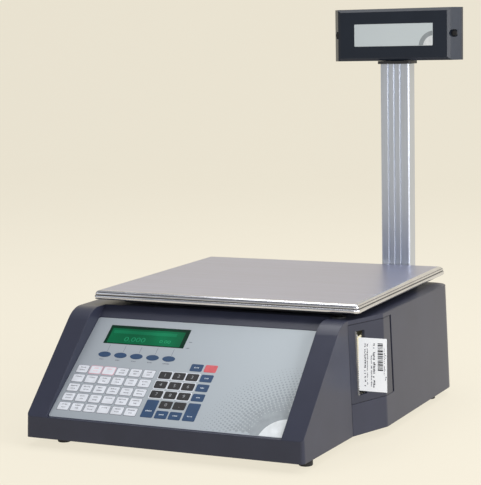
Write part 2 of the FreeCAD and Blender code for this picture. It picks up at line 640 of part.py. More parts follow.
hub_top, hub_wall = 110.0, 3.0
hub_r = core_r - 0.1
hub = fuse(rod(roll_at.x, roll_at.y, flange_z0, flange_z1 + 0.2, roll_r + 3),
           rod(roll_at.x, roll_at.y, flange_z0, hub_top, hub_r))
ring = rod(roll_at.x, roll_at.y, web_low + 2, hub_top + 1, core_r - hub_wall)
hub = hub.cut(ring.cut(rod(roll_at.x, roll_at.y, 0, far, hub_bore_r + 2.5)))
hub = hub.cut(rod(roll_at.x, roll_at.y, 0, far, hub_bore_r + running))
parts["supply_hub"] = hub
roll = rod(roll_at.x, roll_at.y, web_low, web_high, roll_r - 0.3)
parts["label_roll"] = roll.cut(rod(roll_at.x, roll_at.y, 0, far, hub_r))


def upright(points, z0, z1):
    """A prism along Z from an outline of (x, y) points."""
    wire = Part.makePolygon([V(x, y, z0) for x, y in points] + [V(points[0][0], points[0][1], z0)])
    return Part.Face(wire).extrude(V(0, 0, z1 - z0))


# backing paper: from the roll past the head, sharply round the peel edge and back to the take-up spool
peel_x = 184.0
web_back = web_y + web_t      # face of the web that touches the platen and the peel bar
lay_on = takeup_at.x + wound_r + 0.3
parts["backing_paper"] = upright([
    (roll_at.x, web_y), (peel_x, web_y), (peel_x + 0.6, web_y + 0.95), (lay_on + web_t, takeup_at.y),
    (lay_on, takeup_at.y), (peel_x + 0.25, web_y + 1.0), (peel_x - 0.2, web_back), (roll_at.x, web_back)],
    web_low, web_high)
peel = upright([(174.5, -26), (174.5, web_back + 0.05), (peel_x - 1.0, web_back + 0.05),
                (peel_x - 0.3, web_back + 0.55), (179.5, -26)], deck_top, roller_z1 + 0.5)
peel_foot = box(172, 179.5, -26.5, -17, deck_top, deck_top + 2)
parts["peel_bar"] = fuse(peel, peel_foot.cut(rod(platen_at.x, platen_at.y, 0, 90, platen_r + 1)))

bar_y0, bar_y1 = web_y - 10.5, web_y - 0.3
head_block = box(160, 172, bar_y0 + 2, bar_y1 - 1, roller_z0, roller_z1)
ridge_r = 3.0
ridge = rod(platen_at.x, bar_y1 - ridge_r, roller_z0, roller_z1, ridge_r)
connector = box(162, 170, bar_y0 - 2.4, bar_y0 + 2.1, 80, 104)
parts["printhead"] = fuse(head_block, ridge, connector)
arm_z0, arm_z1 = web_low, web_high + 1.0
carrier = fuse(box(156, 173, bar_y0, bar_y0 + 2, arm_z0, arm_z1),
               box(155.5, 159.5, pivot_at.y, bar_y0 + 1, arm_z0, arm_z1),
               rod(pivot_at.x, pivot_at.y, arm_z0 - 1.5, arm_z1 + 1.5, 3.6))
carrier = carrier.cut(rod(pivot_at.x, pivot_at.y, 0, far, pivot_pin_r + running))
carrier = carrier.cut(box(161.8, 170.2, bar_y0 - 3, bar_y0 + 3, 79.8, 104.2))
parts["head_carrier"] = carrier
parts["head_pivot_pin"] = rod(pivot_at.x, pivot_at.y, deck_z, upper_z + deck_t, pivot_pin_r)

lever_low, lever_t, lever_reach, lever_half = upper_z + deck_t + gap, 2.5, 14.0, 2.2
lever = fuse(rod(lever_at.x, lever_at.y, upper_z + 0.2, lever_low + 3, pivot_pin_r),
             rod(lever_at.x, lever_at.y, lever_low, lever_low + 3, 4.0))
finger = rounded_block(0, lever_reach, -lever_half, lever_half, lever_low, lever_low + lever_t, 1.8)
tab = rounded_block(lever_reach - 4.5, lever_reach, -lever_half, lever_half, lever_low, lever_low + 5, 1.8)
finger = fuse(finger, tab)
finger.rotate(V(0, 0, 0), V(0, 0, 1), 110)
finger.translate(V(lever_at.x, lever_at.y, 0))
parts["head_lever"] = fuse(lever, finger)
sensor_x0, sensor_x1, sensor_top = 132.0, 142.0, 92.0
parts["gap_sensor"] = fuse(box(sensor_x0, sensor_x1, web_y - 6, web_y - 1, deck_top, sensor_top),
                           box(sensor_x0, sensor_x1, web_y + 1.2, web_y + 4, deck_top, sensor_top),
                           box(sensor_x0, sensor_x1, web_y - 6, web_y + 4, deck_top, web_low - 1))

# ---------------------------------------------------------------- printer door and issued label
slot_y0, slot_y1, slot_z0, slot_z1 = -33.4, -17.5, 56.0, 131.0
skin = case_block(0, base_z, case_top).cut(case_block(wall, base_z - 1, case_top + 1))
leaf = skin.common(box(right_in, right_out, seam_y + door_seam, hinge_y, door_low, door_high))
barrel = hinge_rod(door_low, door_high, hinge_r)
barrel_x = hinge_at(door_low).x
web_block = box(barrel_x - 1, barrel_x + 9, hinge_y - 8, hinge_y, door_low, door_high)
barrel = fuse(barrel, web_block.common(case_solid).cut(hinge_rod(0, 200, 1)))
ends = box(right_in, right_out + 20, -100, 100, door_low + 0.1, door_high - 0.1)
door = fuse(leaf, barrel).common(ends)
door = door.cut(box(right_in, right_out, slot_y0, slot_y1, slot_z0, slot_z1))
door = door.cut(hinge_rod(20, 180, hinge_pin_r + running))
parts["printer_door"] = door
parts["door_pin"] = hinge_rod(pin_z0, pin_z1, hinge_pin_r)


def slant_x(y, z):
    """Outer face of the slanted part of the right wall."""
    return seam_half + (bend_x - seam_half) * (y - seam_y) / (bend_y - seam_y) - draft * (z - base_z) * 1.07


tooth_count, tooth_deep, tooth_out = 30, 1.6, 1.0
step = (slot_z1 - slot_z0) / tooth_count
bar_in = wall + 0.5           # the bar lies against the slot's front edge, from just inside the wall
outline = [(slant_x(slot_y0, slot_z1) - bar_in, slot_z1), (slant_x(slot_y0, slot_z0) - bar_in, slot_z0)]
for k in range(tooth_count):
    z0 = slot_z0 + k * step
    outline.append((slant_x(slot_y0, z0) + tooth_out, z0 + 0.01))
    outline.append((slant_x(slot_y0, z0) + tooth_out + tooth_deep, z0 + step / 2))
outline.append((slant_x(slot_y0, slot_z1) + tooth_out, slot_z1))
wire = Part.makePolygon([V(x, slot_y0, z) for x, z in outline + outline[:1]])
parts["tear_bar"] = Part.Face(wire).extrude(V(0, 0.8, 0))

label_x0, label_y = 185.5, slot_y0 + 0.8
label_tip = slant_x(label_y, (web_low + web_high) / 2) + label_out
parts["printed_label"] = box(label_x0, label_tip, label_y, label_y + web_t, web_low + 0.5, web_high - 0.5)

# ---------------------------------------------------------------- connector panel and boards
plate = case_block(0.1, base_z, case_top).cut(case_block(panel_plate, base_z - 1, case_top + 1))
plate = plate.common(rear_window(0.2))
inlet_x, inlet_z, inlet_w, inlet_h = -106.0, 60.0, 29.0, 44.0
inlet_x0, inlet_x1 = inlet_x - inlet_w / 2, inlet_x + inlet_w / 2
inlet_z0, inlet_z1 = inlet_z - inlet_h / 2, inlet_z + inlet_h / 2
inlet_flange = 2.0
port_spots = [(-62.0, 60.0, 17.0, 14.5, 14.0), (-34.0, 60.0, 20.0, 14.0, 12.0)]   # x, z, width, height, depth
plate = plate.cut(box(inlet_x0, inlet_x1, 200, 300, inlet_z0, inlet_z1))
for x, z, w, h, d in port_spots:
    plate = plate.cut(box(x - w / 2, x + w / 2, 200, 300, z - h / 2, z + h / 2))
parts["rear_panel"] = plate
wall_face_y = rear_y - draft * (inlet_z - base_z)

module_box = box(inlet_x0 + 0.1, inlet_x1 - 0.1, wall_face_y - 28, wall_face_y + 1,
                 inlet_z0 + 0.1, inlet_z1 - 0.1)
rim = box(inlet_x0 - inlet_flange, inlet_x1 + inlet_flange, wall_face_y - 3, wall_face_y + 3,
          inlet_z0 - inlet_flange, inlet_z1 + inlet_flange)
inlet = fuse(module_box, rim.cut(case_block(0.1, base_z, case_top)))
well = box(inlet_x - 12, inlet_x + 12, wall_face_y - 18, wall_face_y + 5, inlet_z - 18.5, inlet_z - 2)
inlet = inlet.cut(well)
for x in (inlet_x - 7, inlet_x, inlet_x + 7):
    inlet = fuse(inlet, box(x - 1, x + 1, wall_face_y - 19, wall_face_y - 2, inlet_z - 12.5, inlet_z - 8.5))
rocker_z, rocker_w, rocker_half, rocker_r = inlet_z + 11.5, 18.0, 8.0, 1.5
rocker_x0, rocker_x1 = inlet_x - rocker_w / 2, inlet_x + rocker_w / 2
rocker_y = wall_face_y - 3.0
pin_in = 1.8                  # how far each end of the rocker's pin enters the module
inlet = inlet.cut(box(rocker_x0 - gap, rocker_x1 + gap, wall_face_y - 14, wall_face_y + 5,
                      rocker_z - rocker_half - 1.0, rocker_z + rocker_half + 1.0))
pin = Part.makeCylinder(rocker_r, rocker_w + 2 * pin_in, V(rocker_x0 - pin_in, rocker_y, rocker_z), V(1, 0, 0))
pin_hole = Part.makeCylinder(rocker_r + running, rocker_w + 2 * pin_in + 0.4,
                             V(rocker_x0 - pin_in - 0.2, rocker_y, rocker_z), V(1, 0, 0))
parts["power_inlet"] = inlet.cut(pin_hole)
rocker = prism_x([(rocker_y - 3.0, rocker_z - 3), (rocker_y + 4.0, rocker_z - rocker_half + 0.4),
                  (rocker_y + 5.6, rocker_z - rocker_half + 0.6), (rocker_y + 3.4, rocker_z),
                  (rocker_y + 3.6, rocker_z + rocker_half - 1.2),
                  (rocker_y + 1.8, rocker_z + rocker_half - 0.8), (rocker_y - 3.0, rocker_z + 3)],
                 rocker_x0, rocker_x1)
parts["rocker_switch"] = fuse(rocker, pin)

ports = []
port_wall = 2.0
for x, z, w, h, d in port_spots:
    x0, x1, z0, z1 = x - w / 2, x + w / 2, z - h / 2, z + h / 2
    shell = box(x0 + 0.1, x1 - 0.1, wall_face_y - 18, wall_face_y - 0.5, z0 + 0.1, z1 - 0.1)
    socket = box(x0 + port_wall, x1 - port_wall, wall_face_y - d, wall_face_y + 5,
                 z0 + port_wall, z1 - port_wall)
    ports.append(shell.cut(socket))
parts["data_ports"] = group(*ports)

board = box(board_x0, board_x1, board_y0, board_y1, board_z, board_z + board_t)
for x, y in board_pins:
    board = board.cut(rod(x, y, 0, 100, standoff_pin_r + 0.05))
# components on the board: centre x and y, width, depth, height
chips = [(-120, 60, 22, 22, 2.5), (-80, 62, 14, 20, 2.0), (-122, 110, 30, 14, 6), (-75, 120, 18, 18, 9),
         (-110, 160, 44, 10, 11), (-64, 160, 9, 30, 9), (-140, 140, 12, 26, 14)]
for x, y, w, d, h in chips:
    chip = box(x - w / 2, x + w / 2, y - d / 2, y + d / 2, board_z, board_z + board_t + h)
    board = fuse(board, chip)
parts["main_board"] = board
supply_top = plate_top + 30
supply = rounded_block(-160, -66, -112, -24, plate_top, supply_top, 3)
for k in range(7):
    supply = supply.cut(box(-146 + 10 * k, -141 + 10 * k, -96, -40, supply_top - 2, supply_top + 1))
parts["power_supply"] = supply

# ---------------------------------------------------------------- pole and bracket
pole_cx, pole_cy = pole_x + pole_w / 2, pole_y + pole_d / 2
pole_top = head_z - 2.0


def pole_block(grow, z0, z1):
    return rounded_block(pole_x - grow, pole_x + pole_w + grow, pole_y - grow, pole_y + pole_d + grow,
                         z0, z1, 2.5 + grow)


pole_wall = 2.6
pole = pole_block(0, pole_bottom, pole_top).cut(pole_block(-pole_wall, pole_bottom - 1, pole_top + 1))
groove_half, groove_deep = 1.0, 1.1
for dx in (11.0, 19.4, 27.9):
    for face_y, inward in ((pole_y, 1), (pole_y + pole_d, -1)):
        x = pole_x + dx
        corners = [(x - groove_half, face_y), (x + groove_half, face_y), (x, face_y + inward * groove_deep)]
        wire = Part.makePolygon([V(cx, cy, pole_bottom - 1) for cx, cy in corners + corners[:1]])
        pole = pole.cut(Part.Face(wire).extrude(V(0, 0, pole_top - pole_bottom + 2)))
parts["display_pole"] = pole
sleeve_grow = 4.5             # wall of the bracket's sleeve round the pole
arm_half, cable_r = 17.0, 5.0
flange_half, flange_low, flange_high, flange_out = 30.0, 20.0, 88.0, 6.0
bracket = pole_block(sleeve_grow, pole_bottom - 8, pole_bottom + 40)
bracket = fuse(bracket,
               box(pole_cx - arm_half, pole_cx + arm_half, rear_y - 20, pole_y,
                   pole_bottom - 8, pole_bottom + 32),
               rounded_block(pole_cx - flange_half, pole_cx + flange_half, rear_y - 20, rear_y + flange_out,
                             flange_low, flange_high, 3))
bracket = bracket.cut(case_solid).cut(pole_block(0.1, pole_bottom, 500))
bracket = bracket.cut(rod_y(pole_cx, pole_bottom + 12, 200, pole_y + 12, cable_r))
parts["top_casing"] = parts["top_casing"].cut(rod_y(pole_cx, pole_bottom + 12, 200, 300, cable_r))
for x in (pole_cx - 24, pole_cx + 24):
    for z in (flange_low + 10, flange_high - 10):
        bracket = bracket.cut(rod_y(x, z, 200, 320, screw_r + 0.1))
        parts["top_casing"] = parts["top_casing"].cut(rod_y(x, z, 200, 320, screw_r + snug))
        outer_y = rear_y + flange_out
        screws.append(fuse(rod_y(x, z, outer_y, outer_y + screw_head_t, screw_head_r),
                           rod_y(x, z, rear_y - 8, outer_y, screw_r)))
parts["pole_bracket"] = bracket
parts["fixing_screws"] = group(*screws)

# ---------------------------------------------------------------- customer display head
head_top = head_z + head_h
boss_in = 9.0                 # pivot boss of the collar


facet_y = 18.0                # how far the end facets run in y
knee_strip = 3.0              # what the narrow strip between a face and an end facet takes off each


def head_form(inset):
    """The head, moved in by inset: faceted in plan, with bevels along the top and bottom of both faces."""
    half = head_w / 2
    flat = half - head_end_bevel
    on_facet = V(head_end_bevel, facet_y, 0).normalize() * knee_strip
    quarter = [(flat - knee_strip, 0.0), (flat + on_facet.x, on_facet.y), (half, facet_y)]
    side = [(x, head_front_y + y) for x, y in quarter] + [(x, head_rear_y - y) for x, y in reversed(quarter)]
    corners = [(pole_cx + x, y, 0.8) for x, y in side] + [(pole_cx - x, y, 0.8) for x, y in reversed(side)]
    block = Part.Face(rounded_wire(corners, head_z, inset)).extrude(V(0, 0, head_h))
    front, rear, low, high = head_front_y + inset, head_rear_y - inset, head_z + inset, head_top - inset
    b = head_edge_bevel - inset * (2 - math.sqrt(2))
    outline = [(front + b, low), (rear - b, low), (rear, low + b), (rear, high - b),
               (rear - b, high), (front + b, high), (front, high - b), (front, low + b)]
    return block.common(prism_x(outline, pole_cx - half, pole_cx + half))


head_outer = head_form(0)
head_shell = head_outer.cut(head_form(head_wall))
mid_z = head_z + head_h / 2 + 0.5
end_x = head_w / 2 - 7.0
well_r, well_deep, tie_r = 5.0, 12.0, 1.5   # screw recesses in the face and the screws' shanks
for s in (-1, 1):
    post_boss = rod_y(pole_cx + s * end_x, mid_z, head_front_y, head_rear_y - 8, well_r + 1.8)
    head_shell = fuse(head_shell, post_boss.common(head_outer))
front_shell = head_shell.common(box(-far, far, 200, head_split_y, 400, far))
rear_shell = head_shell.common(box(-far, far, head_split_y, 400, 400, far))
screw_set = []
for s in (-1, 1):
    x = pole_cx + s * end_x
    seat_y = head_front_y + well_deep
    front_shell = front_shell.cut(rod_y(x, mid_z, 200, seat_y, well_r))
    front_shell = front_shell.cut(rod_y(x, mid_z, 200, 400, tie_r + 0.1))
    rear_shell = rear_shell.cut(rod_y(x, mid_z, 200, head_rear_y - 12, tie_r + snug))
    top = rod_y(x, mid_z, seat_y - 2.4, seat_y, 3.2)
    top = top.cut(box(x - 2.2, x + 2.2, 200, seat_y - 1.4, mid_z - slot_half, mid_z + slot_half))
    screw_set.append(fuse(top, rod_y(x, mid_z, seat_y, head_rear_y - 14, tie_r)))
parts["head_screws"] = group(*screw_set)
boss_hole = rod(pole_cx, pole_cy, head_z - 5, head_z + 8, boss_in + running)
plate_half, plate_z0, plate_z1, plate_thick = 55.2, 455.2, 485.2, 1.0
front_shell = front_shell.cut(boss_hole)
rear_shell = rear_shell.cut(boss_hole)
plate_x0, plate_x1 = pole_cx - plate_half, pole_cx + plate_half
front_shell = front_shell.cut(box(plate_x0, plate_x1, 200, head_front_y + plate_thick, plate_z0, plate_z1))
fit = 0.15                    # of the inlaid plate and window in their seats
name_plate = box(plate_x0 + fit, plate_x1 - fit, head_front_y + 0.1, head_front_y + plate_thick,
                 plate_z0 + fit, plate_z1 - fit)
win_half, win_z0, win_z1 = 70.0, head_z + 12.0, head_top - 12.0
window_t, lcd_t, card_t = 1.2, 7.8, 1.6


def display_box(grow, y0, y1):
    """A block in line with the customer's window, grown by a margin."""
    return box(pole_cx - win_half - grow, pole_cx + win_half + grow, y0, y1, win_z0 - grow, win_z1 + grow)


rear_shell = rear_shell.cut(display_box(0, head_rear_y - window_t, 400))
rear_shell = rear_shell.cut(display_box(-3, 325, 400))
parts["head_front_shell"] = front_shell
parts["head_rear_shell"] = rear_shell
parts["head_plate"] = name_plate
parts["customer_window"] = display_box(-fit, head_rear_y - window_t, head_rear_y - 0.2)
lcd_y = head_rear_y - window_t - lcd_t
parts["customer_display"] = fuse(display_box(-4, lcd_y, head_rear_y - window_t),
                                 display_box(1, lcd_y - card_t, lcd_y))
collar_x, collar_y, collar_low = 23.5, 15.5, head_z - 4.2
collar = rounded_block(pole_cx - collar_x, pole_cx + collar_x, pole_cy - collar_y, pole_cy + collar_y,
                       collar_low, head_z - gap, 4)
collar = fuse(collar, rod(pole_cx, pole_cy, head_z - 2, head_z + 5, boss_in)).cut(pole_block(0.1, 0, pole_top))
plug = pole_block(-pole_wall - 0.05, head_z - 22, head_z - 1)
collar = fuse(collar, plug, rod(pole_cx, pole_cy, head_z + 5, head_z + 7, boss_in + 2.5))
parts["head_collar"] = collar.cut(rod(pole_cx, pole_cy, 400, 600, 4.5))

# ---------------------------------------------------------------- export, origin at the whole's bottom centre
origin = V((label_tip - seam_half) / 2, (front_y + head_rear_y) / 2, 0)
for name, shape in parts.items():
    shape = shape.copy()
    shape.translate(origin * -1)
    shape.exportStep("parts/%s.step" % name)
print(len(parts), "nodes; origin", origin)
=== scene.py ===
"""Looks of the label printing scale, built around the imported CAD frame.

Metres, +Z up, -Y towards the operator.
"""

import math
import random

import bpy
from mathutils import Matrix, Vector


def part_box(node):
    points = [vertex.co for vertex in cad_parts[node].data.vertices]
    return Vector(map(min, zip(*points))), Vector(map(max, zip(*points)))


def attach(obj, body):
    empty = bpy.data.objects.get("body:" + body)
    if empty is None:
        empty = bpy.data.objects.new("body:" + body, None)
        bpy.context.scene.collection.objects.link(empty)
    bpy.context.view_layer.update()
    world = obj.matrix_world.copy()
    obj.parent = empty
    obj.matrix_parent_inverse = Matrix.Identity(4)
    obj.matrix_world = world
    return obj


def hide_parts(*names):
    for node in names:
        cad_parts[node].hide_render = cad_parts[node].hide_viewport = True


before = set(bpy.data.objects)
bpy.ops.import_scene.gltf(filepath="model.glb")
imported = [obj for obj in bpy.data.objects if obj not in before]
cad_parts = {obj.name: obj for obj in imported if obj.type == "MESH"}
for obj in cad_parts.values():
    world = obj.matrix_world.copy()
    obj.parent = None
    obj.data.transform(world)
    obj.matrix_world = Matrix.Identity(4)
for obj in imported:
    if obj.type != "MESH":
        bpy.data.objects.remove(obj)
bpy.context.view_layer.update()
random.seed(7)
MM = 0.001

# ---------------------------------------------------------------- driving values
SLOPE = math.radians(37.25)        # keypad panel
PANEL_LENGTH = 158.6 * MM
OVERLAY_THICK = 0.8 * MM
OVERLAY_TOP = -0.25 * MM           # face of the sheet, below the key tops

LCD = (-126.0 * MM, -17.5 * MM, 117.7 * MM, 147.7 * MM)
PRESET_X = [(-135 + 17.8 * k) * MM for k in range(6)]
ROW_S = [s * MM for s in (75.0, 60.5, 46.0, 31.6, 17.2)]
NUMBER_X = [x * MM for x in (-24.3, -6.4, 11.0, 29.2)]
SOFT_KEY_X = [(-116 + 21.6 * k) * MM for k in range(5)]
SOFT_KEY_S = 100.1 * MM
CLEAR_ROW_S = 89.8 * MM            # row of the two keys above the numbers
LOW_ROW_S = 17.0 * MM              # row of the two keys below the numbers
KEY_WIDE, KEY_TALL = 15.7, 11.0    # mm
ARC_STEPS = 16

CAMERA_AT = Vector((0.79046, -1.77802, 0.46236))
CAMERA_TURN = math.radians(24.85)  # to the left of straight ahead
CAMERA_DIP = math.radians(7.24)
CAMERA_ROLL = math.radians(-1.10)
CAMERA_LENS = 116.1


# ---------------------------------------------------------------- material helpers
def new_material(name):
    m = bpy.data.materials.new(name)
    m.use_nodes = True
    nodes, links = m.node_tree.nodes, m.node_tree.links
    return m, nodes, links, nodes["Principled BSDF"]


def add_node(nodes, kind, **values):
    node = nodes.new(kind)
    for key, value in values.items():
        setattr(node, key, value)
    return node


def two_tone(nodes, color, spread):
    """A ramp from a little darker than the colour to a little lighter."""
    ramp = nodes.new("ShaderNodeValToRGB")
    dark, light = ramp.color_ramp.elements
    dark.position = 0.3
    dark.color = (*[max(0.0, c * (1 - spread)) for c in color], 1)
    light.position = 0.7
    light.color = (*[min(1.0, c * (1 + spread)) for c in color], 1)
    return ramp


def mottled(nodes, links, shader, color, spread, scale):
    """Base colour that wanders a little around a mean."""
    where = nodes.new("ShaderNodeTexCoord")
    noise = nodes.new("ShaderNodeTexNoise")
    noise.inputs["Scale"].default_value = scale
    noise.inputs["Detail"].default_value = 6
    ramp = two_tone(nodes, color, spread)
    links.new(where.outputs["Object"], noise.inputs["Vector"])
    links.new(noise.outputs["Fac"], ramp.inputs["Fac"])
    links.new(ramp.outputs["Color"], shader.inputs["Base Color"])
    return where


def grain_bump(nodes, links, shader, where, scale, strength, distance=0.0002, edge=0.0):
    """Fine surface grain, with edges rounded by a bevel when edge is given."""
    grain = nodes.new("ShaderNodeTexNoise")
    grain.inputs["Scale"].default_value = scale
    grain.inputs["Detail"].default_value = 4
    bump = nodes.new("ShaderNodeBump")
    bump.inputs["Strength"].default_value = strength
    bump.inputs["Distance"].default_value = distance
    links.new(where.outputs["Object"], grain.inputs["Vector"])
    links.new(grain.outputs["Fac"], bump.inputs["Height"])
    if edge:
        bevel = add_node(nodes, "ShaderNodeBevel", samples=6)
        bevel.inputs["Radius"].default_value = edge
        links.new(bevel.outputs["Normal"], bump.inputs["Normal"])
    links.new(bump.outputs["Normal"], shader.inputs["Normal"])


def plastic(name, color, rough, spread=0.06, grain=900, strength=0.25, edge=0.0, scale=30, gloss=0.5,
            coat=0.0):
    m, nodes, links, shader = new_material(name)
    where = mottled(nodes, links, shader, color, spread, scale)
    shader.inputs["Roughness"].default_value = rough
    shader.inputs["Specular IOR Level"].default_value = gloss
    shader.inputs["Coat Weight"].default_value = coat
    shader.inputs["Coat Roughness"].default_value = 0.14
    grain_bump(nodes, links, shader, where, grain, strength, edge=edge)
    return m


def metal(name, color, rough, streak=(1, 1, 1), spread=0.08, edge=0.0, strength=0.12, scale=60):
    """Metal with drawn streaks: streak stretches the grain along the axes with small numbers."""
    m, nodes, links, shader = new_material(name)
    shader.inputs["Metallic"].default_value = 1.0
    where = nodes.new("ShaderNodeTexCoord")
    stretch = nodes.new("ShaderNodeMapping")
    stretch.inputs["Scale"].default_value = streak
    noise = nodes.new("ShaderNodeTexNoise")
    noise.inputs["Scale"].default_value = scale
    noise.inputs["Detail"].default_value = 8
    links.new(where.outputs["Object"], stretch.inputs["Vector"])
    links.new(stretch.outputs["Vector"], noise.inputs["Vector"])
    ramp = two_tone(nodes, color, spread)
    links.new(noise.outputs["Fac"], ramp.inputs["Fac"])
    links.new(ramp.outputs["Color"], shader.inputs["Base Color"])
    rougher = nodes.new("ShaderNodeMapRange")
    rougher.inputs["To Min"].default_value = rough * 0.8
    rougher.inputs["To Max"].default_value = rough * 1.25
    links.new(noise.outputs["Fac"], rougher.inputs["Value"])
    links.new(rougher.outputs["Result"], shader.inputs["Roughness"])
    bump = nodes.new("ShaderNodeBump")
    bump.inputs["Strength"].default_value = strength
    bump.inputs["Distance"].default_value = 0.0001
    links.new(noise.outputs["Fac"], bump.inputs["Height"])
    if edge:
        bevel = add_node(nodes, "ShaderNodeBevel", samples=6)
        bevel.inputs["Radius"].default_value = edge
        links.new(bevel.outputs["Normal"], bump.inputs["Normal"])
    links.new(bump.outputs["Normal"], shader.inputs["Normal"])
    return m


def add_painted_glow(material, color, strength):
    """Painted light: a glow that makes the paper give back a little more light than falls on it."""
    shader = next(n for n in material.node_tree.nodes if n.type == "BSDF_PRINCIPLED")
    shader.inputs["Emission Color"].default_value = (*color, 1)
    shader.inputs["Emission Strength"].default_value = strength


def ink(name, color, rough=0.45):
    return plastic(name, color, rough, spread=0.10, grain=1500, strength=0.05, scale=120)


CASING = plastic("casing_plastic", (0.030, 0.033, 0.055), 0.36, edge=1.3 * MM, gloss=0.26, coat=0.12,
                 strength=0.12)
HEAD = plastic("head_plastic", (0.014, 0.019, 0.030), 0.34, edge=0.5 * MM, gloss=0.2, coat=0.12,
               strength=0.06)
DOOR = plastic("door_plastic", (0.028, 0.031, 0.050), 0.34, edge=0.8 * MM, gloss=0.26, coat=0.12,
               strength=0.12)
BLACK = plastic("black_plastic", (0.012, 0.012, 0.014), 0.45, edge=0.4 * MM)
BLACK_METAL = plastic("black_paint", (0.030, 0.030, 0.034), 0.5, gloss=0.3, grain=500, strength=0.4,
                      edge=0.6 * MM)
RUBBER = plastic("rubber", (0.012, 0.012, 0.012), 0.8, grain=700, strength=0.6, edge=0.5 * MM)
STEEL_PAINT = plastic("painted_steel", (0.40, 0.41, 0.43), 0.45, edge=0.4 * MM)
ZINC = metal("zinc_plate", (0.62, 0.62, 0.63), 0.35, edge=0.3 * MM)
STAINLESS = metal("brushed_stainless", (0.44, 0.445, 0.56), 0.34, streak=(0.35, 30, 30), spread=0.12,
                  scale=22)
STAINLESS_SHADE = metal("shaded_step", (0.10, 0.10, 0.11), 0.4)
# painted highlight: the pan's rim faces are smoother and painted lighter than its top, standing in for the
# bright band the lamps put on the rim
STAINLESS_RIM_LIT = metal("polished_rim_painted_highlight", (0.68, 0.68, 0.72), 0.22, streak=(1, 1, 1), spread=0.06, scale=40)
ALUMINIUM = metal("anodised_aluminium", (0.58, 0.62, 0.70), 0.36, streak=(30, 30, 0.3), spread=0.06, scale=30,
                  strength=0.02)
CAST = metal("milled_aluminium", (0.70, 0.71, 0.73), 0.4, edge=0.4 * MM)
GEAR = plastic("acetal", (0.78, 0.77, 0.72), 0.4, edge=0.15 * MM)
PAPER = plastic("label_paper", (0.90, 0.91, 0.94), 0.6, spread=0.03, grain=600, strength=0.2)
# painted light: the label paper glows a little, so that it reads brighter than its lighting makes it
add_painted_glow(PAPER, (0.86, 0.93, 1.0), 0.20)
BACKING = plastic("glassine", (0.76, 0.70, 0.50), 0.35, spread=0.04)
WHITE = plastic("white_plastic", (0.80, 0.80, 0.78), 0.35, edge=0.3 * MM)
PCB = plastic("circuit_board", (0.02, 0.16, 0.07), 0.4, spread=0.25, scale=300)
KEY_WHITE = ink("key_white", (0.62, 0.64, 0.69))
KEY_EDGE = ink("key_edge", (0.17, 0.175, 0.20))
KEY_EDGE_PINK = ink("key_edge_pink", (0.62, 0.26, 0.33))
KEY_BLUE = ink("key_blue", (0.006, 0.040, 0.110))
KEY_BLACK = ink("key_black", (0.006, 0.005, 0.007))
KEY_RED = ink("key_red", (0.56, 0.085, 0.10))
INK_GREY = ink("ink_grey", (0.13, 0.135, 0.16))
INK_DARK = ink("ink_dark", (0.05, 0.05, 0.06))
INK_DIM = ink("ink_dim", (0.30, 0.31, 0.33))
INK_PINK = ink("ink_pink", (0.72, 0.36, 0.40))
INK_PALE = ink("ink_pale", (0.62, 0.68, 0.74))
INK_BLACK = ink("ink_black", (0.02, 0.02, 0.03))
DOT_GREY = ink("dot_grey", (0.27, 0.30, 0.32))
CORNER_PALE = ink("corner_pale", (0.66, 0.69, 0.71))


def silver_with_painted_light(name, dark, light, span, centre):
    """Silver print with painted light that grows lighter from left to right, towards the key light, with a
    fine fleck.
    """
    m, nodes, links, shader = new_material(name)
    where = nodes.new("ShaderNodeTexCoord")
    apart = nodes.new("ShaderNodeSeparateXYZ")
    links.new(where.outputs["Object"], apart.inputs["Vector"])
    painted_light_fade = nodes.new("ShaderNodeMapRange")
    painted_light_fade.inputs["From Min"].default_value = centre - span / 2
    painted_light_fade.inputs["From Max"].default_value = centre + span / 2
    links.new(apart.outputs["X"], painted_light_fade.inputs["Value"])
    fleck = nodes.new("ShaderNodeTexNoise")
    fleck.inputs["Scale"].default_value = 2500
    links.new(where.outputs["Object"], fleck.inputs["Vector"])
    add = add_node(nodes, "ShaderNodeMath", operation="MULTIPLY_ADD")
    add.inputs[1].default_value = 0.25
    links.new(fleck.outputs["Fac"], add.inputs[0])
    links.new(painted_light_fade.outputs["Result"], add.inputs[2])
    ramp = nodes.new("ShaderNodeValToRGB")
    ramp.color_ramp.elements[0].color = (*dark, 1)
    ramp.color_ramp.elements[1].color = (*light, 1)
    links.new(add.outputs["Value"], ramp.inputs["Fac"])
    links.new(ramp.outputs["Color"], shader.inputs["Base Color"])
    shader.inputs["Roughness"].default_value = 0.38
    shader.inputs["Metallic"].default_value = 0.15
    grain_bump(nodes, links, shader, where, 1200, 0.08)
    return m


# painted light: both silver sheets brighten in colour from left to right
OVERLAY = silver_with_painted_light("silver_overlay", (0.305, 0.335, 0.370), (0.365, 0.405, 0.435), 0.30, -0.02)
PLATE = silver_with_painted_light("silver_plate", (0.50, 0.55, 0.58), (0.57, 0.63, 0.66), 0.30, -0.02)


